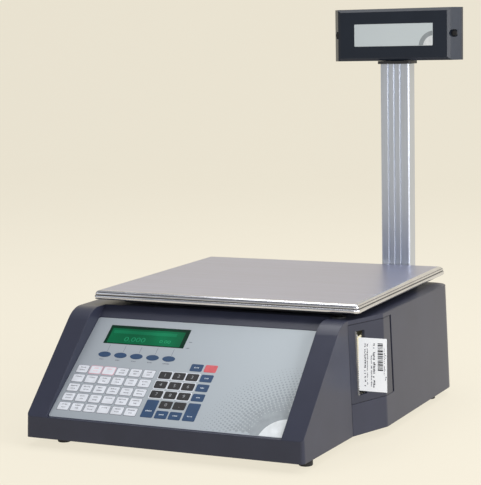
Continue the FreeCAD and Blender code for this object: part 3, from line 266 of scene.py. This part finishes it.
def lcd_material(name, dark, bright):
    """Lit green glass, cloudy, with a fine chequered lattice."""
    m, nodes, links, shader = new_material(name)
    where = nodes.new("ShaderNodeTexCoord")
    cloud = nodes.new("ShaderNodeTexNoise")
    cloud.inputs["Scale"].default_value = 18
    links.new(where.outputs["Object"], cloud.inputs["Vector"])
    lattice = add_node(nodes, "ShaderNodeTexChecker")
    lattice.inputs["Scale"].default_value = 1400
    links.new(where.outputs["Object"], lattice.inputs["Vector"])
    blend = add_node(nodes, "ShaderNodeMath", operation="MULTIPLY_ADD")
    blend.inputs[1].default_value = 0.12
    links.new(lattice.outputs["Fac"], blend.inputs[0])
    links.new(cloud.outputs["Fac"], blend.inputs[2])
    ramp = nodes.new("ShaderNodeValToRGB")
    ramp.color_ramp.elements[0].position = 0.35
    ramp.color_ramp.elements[0].color = (*dark, 1)
    ramp.color_ramp.elements[1].position = 0.75
    ramp.color_ramp.elements[1].color = (*bright, 1)
    links.new(blend.outputs["Value"], ramp.inputs["Fac"])
    links.new(ramp.outputs["Color"], shader.inputs["Base Color"])
    links.new(ramp.outputs["Color"], shader.inputs["Emission Color"])
    shader.inputs["Emission Strength"].default_value = 0.40
    shader.inputs["Roughness"].default_value = 0.3
    shader.inputs["Specular IOR Level"].default_value = 0.1
    return m


LCD_GREEN = lcd_material("lcd_green", (0.0, 0.055, 0.022), (0.0, 0.115, 0.045))
LCD_EDGE = lcd_material("lcd_edge", (0.0, 0.012, 0.006), (0.0, 0.030, 0.013))
LCD_BAND = lcd_material("lcd_band", (0.001, 0.09, 0.038), (0.004, 0.15, 0.065))
LCD_DIGIT = lcd_material("lcd_digit", (0.006, 0.14, 0.065), (0.02, 0.25, 0.11))


def glass_material(name, tint):
    m, nodes, links, shader = new_material(name)
    mottled(nodes, links, shader, tint, 0.03, 50)
    shader.inputs["Roughness"].default_value = 0.05
    shader.inputs["Transmission Weight"].default_value = 1.0
    shader.inputs["IOR"].default_value = 1.3
    return m


GLASS = glass_material("clear_window", (0.95, 0.98, 0.96))
VIAL = glass_material("vial_fluid", (0.75, 0.9, 0.35))


# ---------------------------------------------------------------- geometry helpers
def mesh_piece(name, verts, faces, material, body, smooth=False):
    mesh = bpy.data.meshes.new(name)
    mesh.from_pydata([tuple(v) for v in verts], [], faces)
    mesh.validate()
    mesh.update()
    obj = bpy.data.objects.new(name, mesh)
    bpy.context.scene.collection.objects.link(obj)
    obj.data.materials.append(material)
    for p in mesh.polygons:
        p.use_smooth = smooth
    if body:
        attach(obj, body)
    return obj


def rounded_rect(x0, x1, y0, y1, r, steps=5):
    """Corners of a rounded rectangle, anticlockwise."""
    points = []
    corners = ((x1 - r, y1 - r, 0), (x0 + r, y1 - r, 90), (x0 + r, y0 + r, 180), (x1 - r, y0 + r, 270))
    for cx, cy, start in corners:
        for k in range(steps + 1):
            a = math.radians(start + 90 * k / steps)
            points.append((cx + r * math.cos(a), cy + r * math.sin(a)))
    return points


def oval(cx, cy, rx, ry, steps=28):
    return [(cx + rx * math.cos(2 * math.pi * k / steps), cy + ry * math.sin(2 * math.pi * k / steps))
            for k in range(steps)]


def stack(rings):
    """Joins closed rings of equal length into a skin, capped at both ends."""
    n = len(rings[0])
    verts = [v for ring in rings for v in ring]
    faces = [tuple(reversed(range(n)))]
    for i in range(len(rings) - 1):
        for k in range(n):
            a, b = i * n + k, i * n + (k + 1) % n
            faces.append((a, b, b + n, a + n))
    faces.append(tuple(range(len(verts) - n, len(verts))))
    return verts, faces


class Builder:
    """Gathers many small shapes into one mesh."""

    def __init__(self):
        self.verts = []
        self.faces = []

    def add(self, verts, faces):
        base = len(self.verts)
        self.verts += verts
        self.faces += [tuple(base + i for i in f) for f in faces]

    def piece(self, name, material, body, slot_name, smooth=False):
        return mesh_piece(name, self.verts, self.faces, material, body, smooth)


overlay_lo, overlay_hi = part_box("keypad_overlay")
mid_x = (overlay_lo[0] + overlay_hi[0]) / 2
foot_y = overlay_lo[1] - 0.4 * MM * math.cos(SLOPE) + OVERLAY_TOP * math.sin(SLOPE)
foot_z = overlay_lo[2] - 0.4 * MM * math.sin(SLOPE) + OVERLAY_THICK * math.cos(SLOPE)


def on_panel(x, s, n):
    """A point from panel coordinates: x across, s up the slope, n out of the face."""
    return Vector((mid_x + x, foot_y + s * math.cos(SLOPE) - n * math.sin(SLOPE),
                   foot_z + s * math.sin(SLOPE) + n * math.cos(SLOPE)))


def slab(outline, low, high, place, crown=0.0, inset=0.0):
    """A plate from a flat outline, its upper edge eased by inset over crown."""
    cx = sum(p[0] for p in outline) / len(outline)
    cy = sum(p[1] for p in outline) / len(outline)
    half = max(abs(p[0] - cx) for p in outline)
    tall = max(abs(p[1] - cy) for p in outline)
    rings = [[place(x, y, low) for x, y in outline], [place(x, y, high - crown) for x, y in outline]]
    if crown:
        fx, fy = 1 - inset / half, 1 - inset / tall
        rings.append([place(cx + (x - cx) * fx, cy + (y - cy) * fy, high) for x, y in outline])
    return stack(rings)


# ---------------------------------------------------------------- CAD nodes that keep their own shape
NODE_LOOKS = {
    "top_casing": CASING, "base_plate": STEEL_PAINT, "foot_locknuts": ZINC, "lcd_module": LCD_EDGE,
    "pan_support": BLACK_METAL, "pan_buffers": RUBBER, "load_cell_live_end": CAST,
    "load_cell_fixed_end": CAST, "load_cell_block": STEEL_PAINT, "load_cell_bolts": ZINC,
    "load_post": CAST, "post_bolts": ZINC, "level_housing": BLACK, "level_vial": VIAL,
    "printer_chassis": ZINC, "stepper_motor": ZINC, "motor_pinion": GEAR, "platen_gear": GEAR,
    "idler_gear": GEAR, "takeup_gear": GEAR, "platen_sleeve": RUBBER, "platen_shaft": ZINC,
    "takeup_spool": BLACK, "wound_backing": BACKING, "supply_hub": BLACK, "label_roll": PAPER,
    "backing_paper": BACKING, "peel_bar": ZINC, "printhead": CAST, "head_carrier": ZINC,
    "head_pivot_pin": ZINC, "head_lever": WHITE, "gap_sensor": BLACK, "printer_door": DOOR,
    "door_pin": ZINC, "tear_bar": ZINC, "rear_panel": BLACK_METAL, "power_inlet": BLACK,
    "rocker_switch": BLACK, "data_ports": ZINC, "main_board": PCB, "power_supply": ZINC,
    "display_pole": ALUMINIUM, "pole_bracket": BLACK_METAL, "fixing_screws": ZINC,
    "head_screws": BLACK, "head_front_shell": HEAD, "head_rear_shell": HEAD, "customer_window": GLASS,
    "customer_display": LCD_EDGE, "head_collar": BLACK, "lcd_window": GLASS,
    "foot_front_left": RUBBER, "foot_front_right": RUBBER, "foot_rear_left": RUBBER,
    "foot_rear_right": RUBBER,
}
for node_name, look in NODE_LOOKS.items():
    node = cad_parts[node_name]
    node.data.materials.clear()
    node.data.materials.append(look)


# ---------------------------------------------------------------- stainless pan
def build_pan():
    lo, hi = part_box("weighing_pan")
    corner = 6 * MM
    # (inset, drop below the top), from inside the lower edge up over a shaded step and a crowned rim
    profile = [(1.6, 8.0), (0.5, 10.6), (0.1, 9.8), (0.0, 8.6), (0.0, 6.7), (0.5, 6.2), (1.1, 5.9),
               (1.1, 5.2), (0.8, 4.7), (1.1, 3.6), (2.2, 1.8), (3.8, 0.7), (5.6, 0.2), (7.0, 0.0)]
    step_low, step_high = hi[2] - 6.3 * MM, hi[2] - 4.9 * MM
    lip = 1.6 * MM
    flat = 0.995                       # a face whose normal rises more than this is level
    rings = []
    for inset, drop in profile:
        i = inset * MM
        r = max(corner - i * 0.8, 1.5 * MM)
        ring = rounded_rect(lo[0] + i, hi[0] - i, lo[1] + i, hi[1] - i, r)
        rings.append([(x, y, hi[2] - drop * MM) for x, y in ring])
    verts, faces = stack(rings)
    n = len(rings[0])
    inner = [(x, y, hi[2] - 2.0 * MM) for x, y in
             rounded_rect(lo[0] + lip, hi[0] - lip, lo[1] + lip, hi[1] - lip, corner)]
    base = len(verts)
    verts += inner
    faces[0] = tuple(reversed(range(base, base + n)))
    faces += [(k, base + k, base + (k + 1) % n, (k + 1) % n) for k in range(n)]
    pan = mesh_piece("pan_skin", verts, faces, STAINLESS, "pan", smooth=True)
    pan.data.materials.append(STAINLESS_RIM_LIT)
    pan.data.materials.append(STAINLESS_SHADE)
    for p in pan.data.polygons:
        # faces that are not level take the lighter rim steel, a painted highlight
        p.material_index = 0 if p.normal.z > flat else 1
        if step_low < p.center.z < step_high:
            p.material_index = 2
        p.use_smooth = abs(p.normal.z) < flat
    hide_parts("weighing_pan")


build_pan()


# ---------------------------------------------------------------- keypad overlay
def build_overlay():
    """The sheet, in one level, with the opening of the display left free."""
    half = (overlay_hi[0] - overlay_lo[0]) / 2
    outer = rounded_rect(-half, half, 0.4 * MM, PANEL_LENGTH, 3 * MM)
    inner = rounded_rect(LCD[0], LCD[1], LCD[2], LCD[3], 0.5 * MM)
    n = len(outer)
    rings = [(outer, OVERLAY_TOP), (inner, OVERLAY_TOP), (inner, -OVERLAY_THICK), (outer, -OVERLAY_THICK)]
    verts = [on_panel(x, s, level) for ring, level in rings for x, s in ring]
    faces = []
    for i in range(4):
        for k in range(n):
            a, b = i * n + k, i * n + (k + 1) % n
            c, d = ((i + 1) % 4) * n + (k + 1) % n, ((i + 1) % 4) * n + k
            faces.append((a, b, c, d))
    sheet = mesh_piece("overlay_sheet", verts, faces, OVERLAY, "base")
    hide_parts("keypad_overlay")


def key(builder, x, s, w, h, r=1.6, low=-0.24, high=0.0):
    outline = rounded_rect(x - w * MM / 2, x + w * MM / 2, s - h * MM / 2, s + h * MM / 2, r * MM, 4)
    builder.add(*slab(outline, low * MM, high * MM, on_panel, crown=0.12 * MM, inset=0.3 * MM))


def mark(builder, x, s, w, h, n=0.02):
    """A printed dash on the panel."""
    outline = [(x - w * MM / 2, s - h * MM / 2), (x + w * MM / 2, s - h * MM / 2),
               (x + w * MM / 2, s + h * MM / 2), (x - w * MM / 2, s + h * MM / 2)]
    builder.add(*slab(outline, (n - 0.06) * MM, n * MM, on_panel))


def legend(builder, x, s, count, wide, n=0.03):
    """Small uneven strokes that read as a printed word."""
    at = x - count * wide * MM / 2
    for _ in range(count):
        tall = random.uniform(1.1, 1.8)
        middle = at + wide * MM * 0.5
        mark(builder, middle, s + random.uniform(-0.12, 0.12) * MM, wide * random.uniform(0.35, 0.7), tall, n)
        if random.random() < 0.5:
            mark(builder, middle, s + tall * MM * 0.3, wide * 0.85, 0.35, n)
        at += wide * MM


def build_presets():
    edges, faces, words, pinks, pink_edges = Builder(), Builder(), Builder(), Builder(), Builder()
    for row, s in enumerate(ROW_S):
        for column, x in enumerate(PRESET_X):
            pink = row == 0 and column in (1, 2)
            key(pink_edges if pink else edges, x, s, 16.3, 12.6, 1.5, -0.24, -0.12)
            key(faces, x, s, 14.9, 11.2, 1.2, -0.2, 0.0)
            ink_set = pinks if pink else words
            legend(ink_set, x, s + 2.4 * MM, random.choice((4, 5, 6)), 1.5)
            if random.random() < 0.75:
                legend(ink_set, x, s - 1.7 * MM, random.choice((3, 4, 5)), 1.5)
    edges.piece("preset_key_edges", KEY_EDGE, "base", "overlay")
    pink_edges.piece("preset_key_pink_edges", KEY_EDGE_PINK, "base", "overlay")
    faces.piece("preset_key_faces", KEY_WHITE, "base", "overlay")
    words.piece("preset_key_words", INK_GREY, "base", "overlay")
    pinks.piece("preset_key_pink_words", INK_PINK, "base", "overlay")


def text_piece(name, body_text, size, place, material, body):
    """Built-in font text turned into a thin mesh; place maps its flat coordinates into the scene."""
    curve = bpy.data.curves.new(name, "FONT")
    curve.body = body_text
    curve.size = size
    curve.align_x = "CENTER"
    curve.align_y = "CENTER"
    curve.resolution_u = 3
    maker = bpy.data.objects.new(name + "_maker", curve)
    bpy.context.scene.collection.objects.link(maker)
    depsgraph = bpy.context.evaluated_depsgraph_get()
    mesh = bpy.data.meshes.new_from_object(maker.evaluated_get(depsgraph))
    verts = [place(v.co.x, v.co.y) for v in mesh.vertices]
    faces = [tuple(p.vertices) for p in mesh.polygons]
    bpy.data.objects.remove(maker)
    bpy.data.meshes.remove(mesh)
    return mesh_piece(name, verts, faces, material, body)


def build_numbers():
    blacks, blues, reds, whites = Builder(), Builder(), Builder(), Builder()
    rims = Builder()
    digits = []
    for row in range(3):
        for column in range(3):
            x, s = NUMBER_X[column], ROW_S[row]
            key(blacks, x, s, KEY_WIDE, KEY_TALL)
            key(rims, x, s, 17.4, 12.8, 1.6, -0.24, -0.16)
            digits.append((str(3 * row + column + 1), x, s))
        key(blues, NUMBER_X[3], ROW_S[row], KEY_WIDE, KEY_TALL)
        legend(whites, NUMBER_X[3], ROW_S[row], 3, 1.8)
    for x, text in ((NUMBER_X[1], "0"), (NUMBER_X[2], ".")):
        key(blacks, x, ROW_S[3], KEY_WIDE, KEY_TALL)
        digits.append((text, x, ROW_S[3]))
    for x in NUMBER_X[1:3]:
        key(blues, x, LOW_ROW_S, KEY_WIDE, 11.4)
        legend(whites, x, LOW_ROW_S, 4, 1.6)
    for x in (NUMBER_X[0], NUMBER_X[3]):
        key(blues, x, 24.4 * MM, KEY_WIDE, 26.0)
    legend(whites, NUMBER_X[0], 21 * MM, 5, 1.6)
    legend(whites, NUMBER_X[3], 18 * MM, 4, 1.6)
    key(blues, NUMBER_X[2], CLEAR_ROW_S, KEY_WIDE, KEY_TALL)
    legend(whites, NUMBER_X[2], CLEAR_ROW_S, 4, 1.6)
    key(reds, NUMBER_X[3], CLEAR_ROW_S, KEY_WIDE, KEY_TALL)
    for x in SOFT_KEY_X:
        outline = oval(x, SOFT_KEY_S, 8.4 * MM, 4.3 * MM)
        blues.add(*slab(outline, -0.24 * MM, 0.0, on_panel, crown=0.12 * MM, inset=0.4 * MM))
    blacks.piece("number_keys", KEY_BLACK, "base", "overlay")
    blues.piece("function_keys", KEY_BLUE, "base", "overlay")
    reds.piece("clear_key", KEY_RED, "base", "overlay")
    whites.piece("function_key_words", INK_PALE, "base", "overlay")
    rims.piece("number_key_rims", KEY_WHITE, "base", "overlay")
    for i, (text, x, s) in enumerate(digits):
        text_piece("digit_%d" % i, text, 6.4 * MM, lambda u, v: on_panel(x + u, s + v, 0.02 * MM),
                   INK_DIM, "base")


def build_soft_key_lines():
    lines, words = Builder(), Builder()
    for x in SOFT_KEY_X:
        mark(lines, x + 1.5 * MM, 110.5 * MM, 0.45, 10.5, -0.2)
        legend(words, x - 1 * MM, 92.3 * MM, random.choice((4, 5, 6)), 1.5, -0.2)
    mark(lines, -30 * MM, 96.2 * MM, 0.1, 0.1, -0.2)
    legend(words, -11.5 * MM, 128 * MM, 3, 1.6, -0.2)
    legend(words, -12 * MM, 118.5 * MM, 3, 1.7, -0.2)
    lines.piece("soft_key_lines", INK_GREY, "base", "overlay")
    words.piece("soft_key_words", INK_GREY, "base", "overlay")


def build_dot_arcs():
    """Rings of dots that shrink outwards, round a pale quarter disc at the panel's lower right corner."""
    half = (overlay_hi[0] - overlay_lo[0]) / 2
    centre = (half + 2 * MM, -4 * MM)
    dots, corner, band = Builder(), Builder(), Builder()
    edge = half - 0.6 * MM
    low = 1.0 * MM

    def sector(radius):
        outline = [(edge, low)]
        for k in range(ARC_STEPS + 1):
            a = math.radians(93 + 85 * k / ARC_STEPS)
            x, s = centre[0] + radius * math.cos(a), centre[1] + radius * math.sin(a)
            outline.append((min(edge, x), max(low, s)))
        return outline

    band.add(*slab(sector(42 * MM), -0.27 * MM, -0.225 * MM, on_panel))
    corner.add(*slab(sector(31 * MM), -0.26 * MM, -0.2 * MM, on_panel))
    for ring in range(17):
        radius = (43.5 + 3.9 * ring) * MM
        size = (2.45 - 0.122 * ring) * MM
        count = int(radius * math.pi / 2 / (4.3 * MM))
        for k in range(count + 1):
            a = math.radians(90 + 90 * (k + 0.5 * (ring % 2)) / count)
            x, s = centre[0] + radius * math.cos(a), centre[1] + radius * math.sin(a)
            if x + size < edge and s - size > low:
                dots.add(*slab(oval(x, s, size, size, 10), -0.27 * MM, -0.215 * MM, on_panel))
    dots.piece("corner_dots", DOT_GREY, "base", "overlay")
    band.piece("corner_band", DOT_GREY, "base", "overlay")
    corner.piece("corner_disc", CORNER_PALE, "base", "overlay")


def build_lcd():
    x0, x1, s0, s1 = LCD
    floor, face, inset = -OVERLAY_THICK, -0.72 * MM, 0.5 * MM
    edge, glass, band = Builder(), Builder(), Builder()
    edge.add(*slab(rounded_rect(x0 + inset, x1 - inset, s0 + inset, s1 - inset, 0.6 * MM, 2),
                   floor - 0.02 * MM, face, on_panel))
    glass.add(*slab(rounded_rect(x0 + 4 * MM, x1 - 6 * MM, s0 + 2.0 * MM, s1 - 4.5 * MM, 0.6 * MM, 2),
                    face - 0.05 * MM, face + 0.03 * MM, on_panel))
    band.add(*slab(rounded_rect(x0 + 7 * MM, x1 - 16 * MM, s1 - 12.5 * MM, s1 - 7.5 * MM, 0.6 * MM, 2),
                   face, face + 0.06 * MM, on_panel))
    border = edge.piece("lcd_border", LCD_EDGE, "base", "glass")
    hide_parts("lcd_window")
    glass.piece("lcd_lit_area", LCD_GREEN, "base", "lcd")
    band.piece("lcd_lit_band", LCD_BAND, "base", "lcd")
    for name, text, x, size in (("lcd_weight", "0.000", -86, 12), ("lcd_price", "0.00", -45, 8)):
        text_piece(name, text, size * MM,
                   lambda u, v: on_panel(x * MM + u * 1.1, s0 + 8.5 * MM + v * 0.85, face + 0.08 * MM),
                   LCD_DIGIT, "base")


build_overlay()
build_presets()
build_numbers()
build_soft_key_lines()
build_dot_arcs()
build_lcd()


# ---------------------------------------------------------------- issued label
def build_label():
    """A slightly bowed paper with a bar code and columns of seeded strokes, all inside its outline."""
    lo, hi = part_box("printed_label")
    long_x, face_y = hi[0] - lo[0], lo[1]
    columns = 14
    # (distance out from the slot, lower end, upper end, width) of each column of print, in mm
    print_columns = ((2.4, 4, 58, 1.9), (5.4, 8, 56, 1.6), (10.2, 6, 42, 1.6), (12.8, 5, 57, 2.9),
                     (26.2, 20, 52, 1.0), (27.2, 40, 46, 1.6), (27.4, 26, 29, 1.2), (27.6, 14, 18, 1.4))
    verts, faces = [], []

    def bow(t):
        return 0.10 * MM * math.sin(math.pi * t)

    for side in (0, 1):
        for i in range(columns + 1):
            t = i / columns
            y = (face_y if side == 0 else hi[1]) + (bow(t) if side == 0 else 0)
            for z in (lo[2], hi[2]):
                verts.append((lo[0] + t * long_x, y, z))
    n = 2 * (columns + 1)
    for i in range(columns):
        a = 2 * i
        faces.append((a, a + 2, a + 3, a + 1))
        faces.append((n + a, n + a + 1, n + a + 3, n + a + 2))
        faces.append((a, n + a, n + a + 2, a + 2))
        faces.append((a + 1, a + 3, n + a + 3, n + a + 1))
    faces.append((0, 1, n + 1, n))
    faces.append((n - 2, 2 * n - 2, 2 * n - 1, n - 1))
    sheet = mesh_piece("issued_label", verts, faces, PAPER, "label")
    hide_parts("printed_label")
    prints, greys = Builder(), Builder()
    y = face_y - 0.02 * MM

    def place(x, z, n):
        return Vector((x, y - n, z))

    def bar(builder, x, z, w, h):
        outline = [(x, z), (x + w, z), (x + w, z + h), (x, z + h)]
        builder.add(*slab(outline, 0.0, 0.02 * MM, place))

    out = lo[0] + 4.5 * MM
    z = lo[2] + 25 * MM
    while z < lo[2] + 56 * MM:
        thick = random.choice((0.6, 0.6, 1.1, 1.6)) * MM
        bar(prints, out + 18.8 * MM, z, 6.4 * MM, thick)
        z += thick + random.choice((0.5, 0.7, 1.0)) * MM
    for offset, low, high, wide in print_columns:
        z = lo[2] + low * MM
        while z < lo[2] + high * MM:
            stroke = random.uniform(0.7, 1.5) * MM
            if random.random() < 0.82:
                shift = random.uniform(0, 0.35) * wide * MM
                bar(greys, out + offset * MM + shift, z, wide * MM * random.uniform(0.5, 0.95), stroke)
            z += stroke + random.uniform(0.4, 0.9) * MM
    prints.piece("label_bars", INK_BLACK, "label", "paper")
    greys.piece("label_words", INK_DARK, "label", "paper")


build_label()


# ---------------------------------------------------------------- plate on the head
def build_head_plate():
    lo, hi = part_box("head_plate")
    face = lo[1]

    def place(x, z, n):
        return Vector((x, face - n, z))

    plate = Builder()
    outline = rounded_rect(lo[0], hi[0], lo[2], hi[2], 1.2 * MM)
    plate.add(*slab(outline, -(hi[1] - lo[1]), 0.0, place, crown=0.15 * MM, inset=0.2 * MM))
    sheet = plate.piece("head_plate_sheet", PLATE, "display_head", "overlay")
    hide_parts("head_plate")
    disc, ring = Builder(), Builder()
    cx, cz, edge, low = hi[0] + 1.5 * MM, lo[2] - 1.5 * MM, hi[0] - 0.5 * MM, lo[2] + 0.5 * MM

    def arc_band(builder, r0, r1, n):
        outline = []
        for k in range(ARC_STEPS + 1):
            a = math.radians(90 + 90 * k / ARC_STEPS)
            outline.append((cx + r1 * math.cos(a), cz + r1 * math.sin(a)))
        for k in range(ARC_STEPS + 1):
            a = math.radians(180 - 90 * k / ARC_STEPS)
            outline.append((cx + r0 * math.cos(a), cz + r0 * math.sin(a)))
        clean = [(min(edge, x), max(low, z)) for x, z in outline]
        verts = [place(x, z, h) for h in (0.0, n) for x, z in clean]
        m = len(clean)
        faces = []
        for k in range(ARC_STEPS):
            a, b, c, d = k, k + 1, m - 2 - k, m - 1 - k
            faces.append((m + a, m + b, m + c, m + d))
        builder.add(verts, faces)

    arc_band(ring, 15 * MM, 21 * MM, 0.03 * MM)
    arc_band(disc, 1 * MM, 15 * MM, 0.03 * MM)
    ring.piece("head_plate_arc", DOT_GREY, "display_head", "overlay")
    disc.piece("head_plate_disc", CORNER_PALE, "display_head", "overlay")


build_head_plate()


def build_customer_face():
    """The lit face towards the customer: weight, unit price and total."""
    lo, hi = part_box("customer_window")
    mid, half = (lo[0] + hi[0]) / 2, (hi[0] - lo[0]) / 2

    def place(u, z, n):
        return Vector((mid - u, hi[1] + n, z))

    face, lit, rules = Builder(), Builder(), Builder()
    face.add(*slab(rounded_rect(-half, half, lo[2], hi[2], 1.2 * MM), lo[1] - hi[1], -0.4 * MM, place))
    border = face.piece("customer_face", LCD_EDGE, "display_head", "glass")
    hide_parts("customer_window")
    edge = 4.5 * MM
    outline = rounded_rect(-half + edge, half - edge, lo[2] + edge, hi[2] - edge, 0.8 * MM)
    lit.add(*slab(outline, -0.5 * MM, -0.3 * MM, place))
    lit.piece("customer_lit_area", LCD_GREEN, "display_head", "lcd")
    z0, z1 = lo[2] + edge, hi[2] - edge
    for u in (-half / 3, half / 3):
        rules.add(*slab([(u - 0.3 * MM, z0), (u + 0.3 * MM, z0), (u + 0.3 * MM, z1), (u - 0.3 * MM, z1)],
                        -0.35 * MM, -0.26 * MM, place))
    rules.piece("customer_rules", LCD_EDGE, "display_head", "lcd")
    for k, text in enumerate(("0.000", "0.00", "0.00")):
        at = (k - 1) * half * 2 / 3
        text_piece("customer_digits_%d" % k, text, 15 * MM,
                   lambda u, v: place(at + u * 0.9, (z0 + z1) / 2 + v * 1.25, -0.24 * MM),
                   LCD_DIGIT, "display_head")


build_customer_face()


def build_collar_screw():
    """The small bright screw on the front of the collar, right of its middle."""
    lo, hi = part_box("head_collar")
    cx, cz = (lo[0] + hi[0]) / 2 + 15 * MM, hi[2] - 9.0 * MM

    def place(x, z, n):
        return Vector((x, lo[1] - n + 0.1 * MM, z))

    screw = Builder()
    outline = oval(cx, cz, 1.1 * MM, 1.1 * MM, 16)
    screw.add(*slab(outline, -0.1 * MM, 0.08 * MM, place, crown=0.05 * MM, inset=0.3 * MM))
    screw.piece("collar_screw", ZINC, "base", "zinc")


build_collar_screw()


# ---------------------------------------------------------------- studio
def build_studio():
    floor_mat, nodes, links, shader = new_material("studio_paper")
    mottled(nodes, links, shader, (0.150, 0.140, 0.118), 0.01, 4)
    shader.inputs["Roughness"].default_value = 0.95
    shader.inputs["Specular IOR Level"].default_value = 0.0
    shader.inputs["Emission Color"].default_value = (0.86, 0.805, 0.672, 1)
    shader.inputs["Emission Strength"].default_value = 0.85
    size, rise, radius = 6.0, 4.0, 1.2
    rings = []
    for x in (-size, size):
        line = [(x, -size, 0), (x, size / 2, 0)]
        for k in range(1, 13):
            a = math.pi / 2 * k / 12
            line.append((x, size / 2 + radius * math.sin(a), radius - radius * math.cos(a)))
        line.append((x, size / 2 + radius, rise))
        rings.append(line)
    verts = rings[0] + rings[1]
    n = len(rings[0])
    faces = [(k, n + k, n + k + 1, k + 1) for k in range(n - 1)]
    floor = mesh_piece("studio_floor", verts, faces, floor_mat, None, smooth=True)
    world = bpy.data.worlds.new("studio_world")
    bpy.context.scene.world = world
    world.use_nodes = True
    world.node_tree.nodes["Background"].inputs["Color"].default_value = (0.95, 0.97, 1.0, 1)
    world.node_tree.nodes["Background"].inputs["Strength"].default_value = 0.34

    def softbox(name, at, aim, size_x, size_y, power, color=(1, 1, 1)):
        lamp = bpy.data.lights.new(name, "AREA")
        lamp.shape = "RECTANGLE"
        lamp.size = size_x
        lamp.size_y = size_y
        lamp.energy = power
        lamp.color = color
        obj = bpy.data.objects.new(name, lamp)
        bpy.context.scene.collection.objects.link(obj)
        obj.location = at
        obj.rotation_euler = (Vector(aim) - Vector(at)).to_track_quat("-Z", "Y").to_euler()

    softbox("key_right", (2.3, 0.0, 1.2), (0.1, 0.0, 0.2), 1.3, 2.2, 50, (0.95, 0.96, 1.0))
    softbox("edge_strip", (1.70, -1.60, 0.50), (0.17, 0.2, 0.47), 0.34, 0.7, 11, (0.97, 0.98, 1.0))
    softbox("top_soft", (0.0, 0.5, 2.4), (0.0, 0.0, 0.1), 2.2, 1.8, 41)
    softbox("fill_left", (-2.2, -1.4, 1.3), (0.0, 0.0, 0.15), 1.6, 1.4, 5, (0.92, 0.96, 1.0))
    softbox("front_fill", (0.6, -2.6, 1.0), (0.0, 0.0, 0.2), 1.2, 1.0, 10)


def build_camera():
    bpy.context.scene.view_settings.view_transform = "Standard"
    az, dip, roll = CAMERA_TURN, CAMERA_DIP, CAMERA_ROLL
    ahead = Vector((-math.sin(az) * math.cos(dip), math.cos(az) * math.cos(dip), -math.sin(dip)))
    right = Vector((math.cos(az), math.sin(az), 0))
    up = right.cross(ahead)
    x_axis = math.cos(roll) * right + math.sin(roll) * up
    y_axis = -math.sin(roll) * right + math.cos(roll) * up
    turn = Matrix((x_axis, y_axis, -ahead)).transposed()
    data = bpy.data.cameras.new("photo_camera")
    data.lens = CAMERA_LENS
    data.sensor_width = 36
    data.clip_end = 50
    camera = bpy.data.objects.new("photo_camera", data)
    bpy.context.scene.collection.objects.link(camera)
    camera.matrix_world = Matrix.Translation(CAMERA_AT) @ turn.to_4x4()
    bpy.context.scene.camera = camera


build_studio()
build_camera()
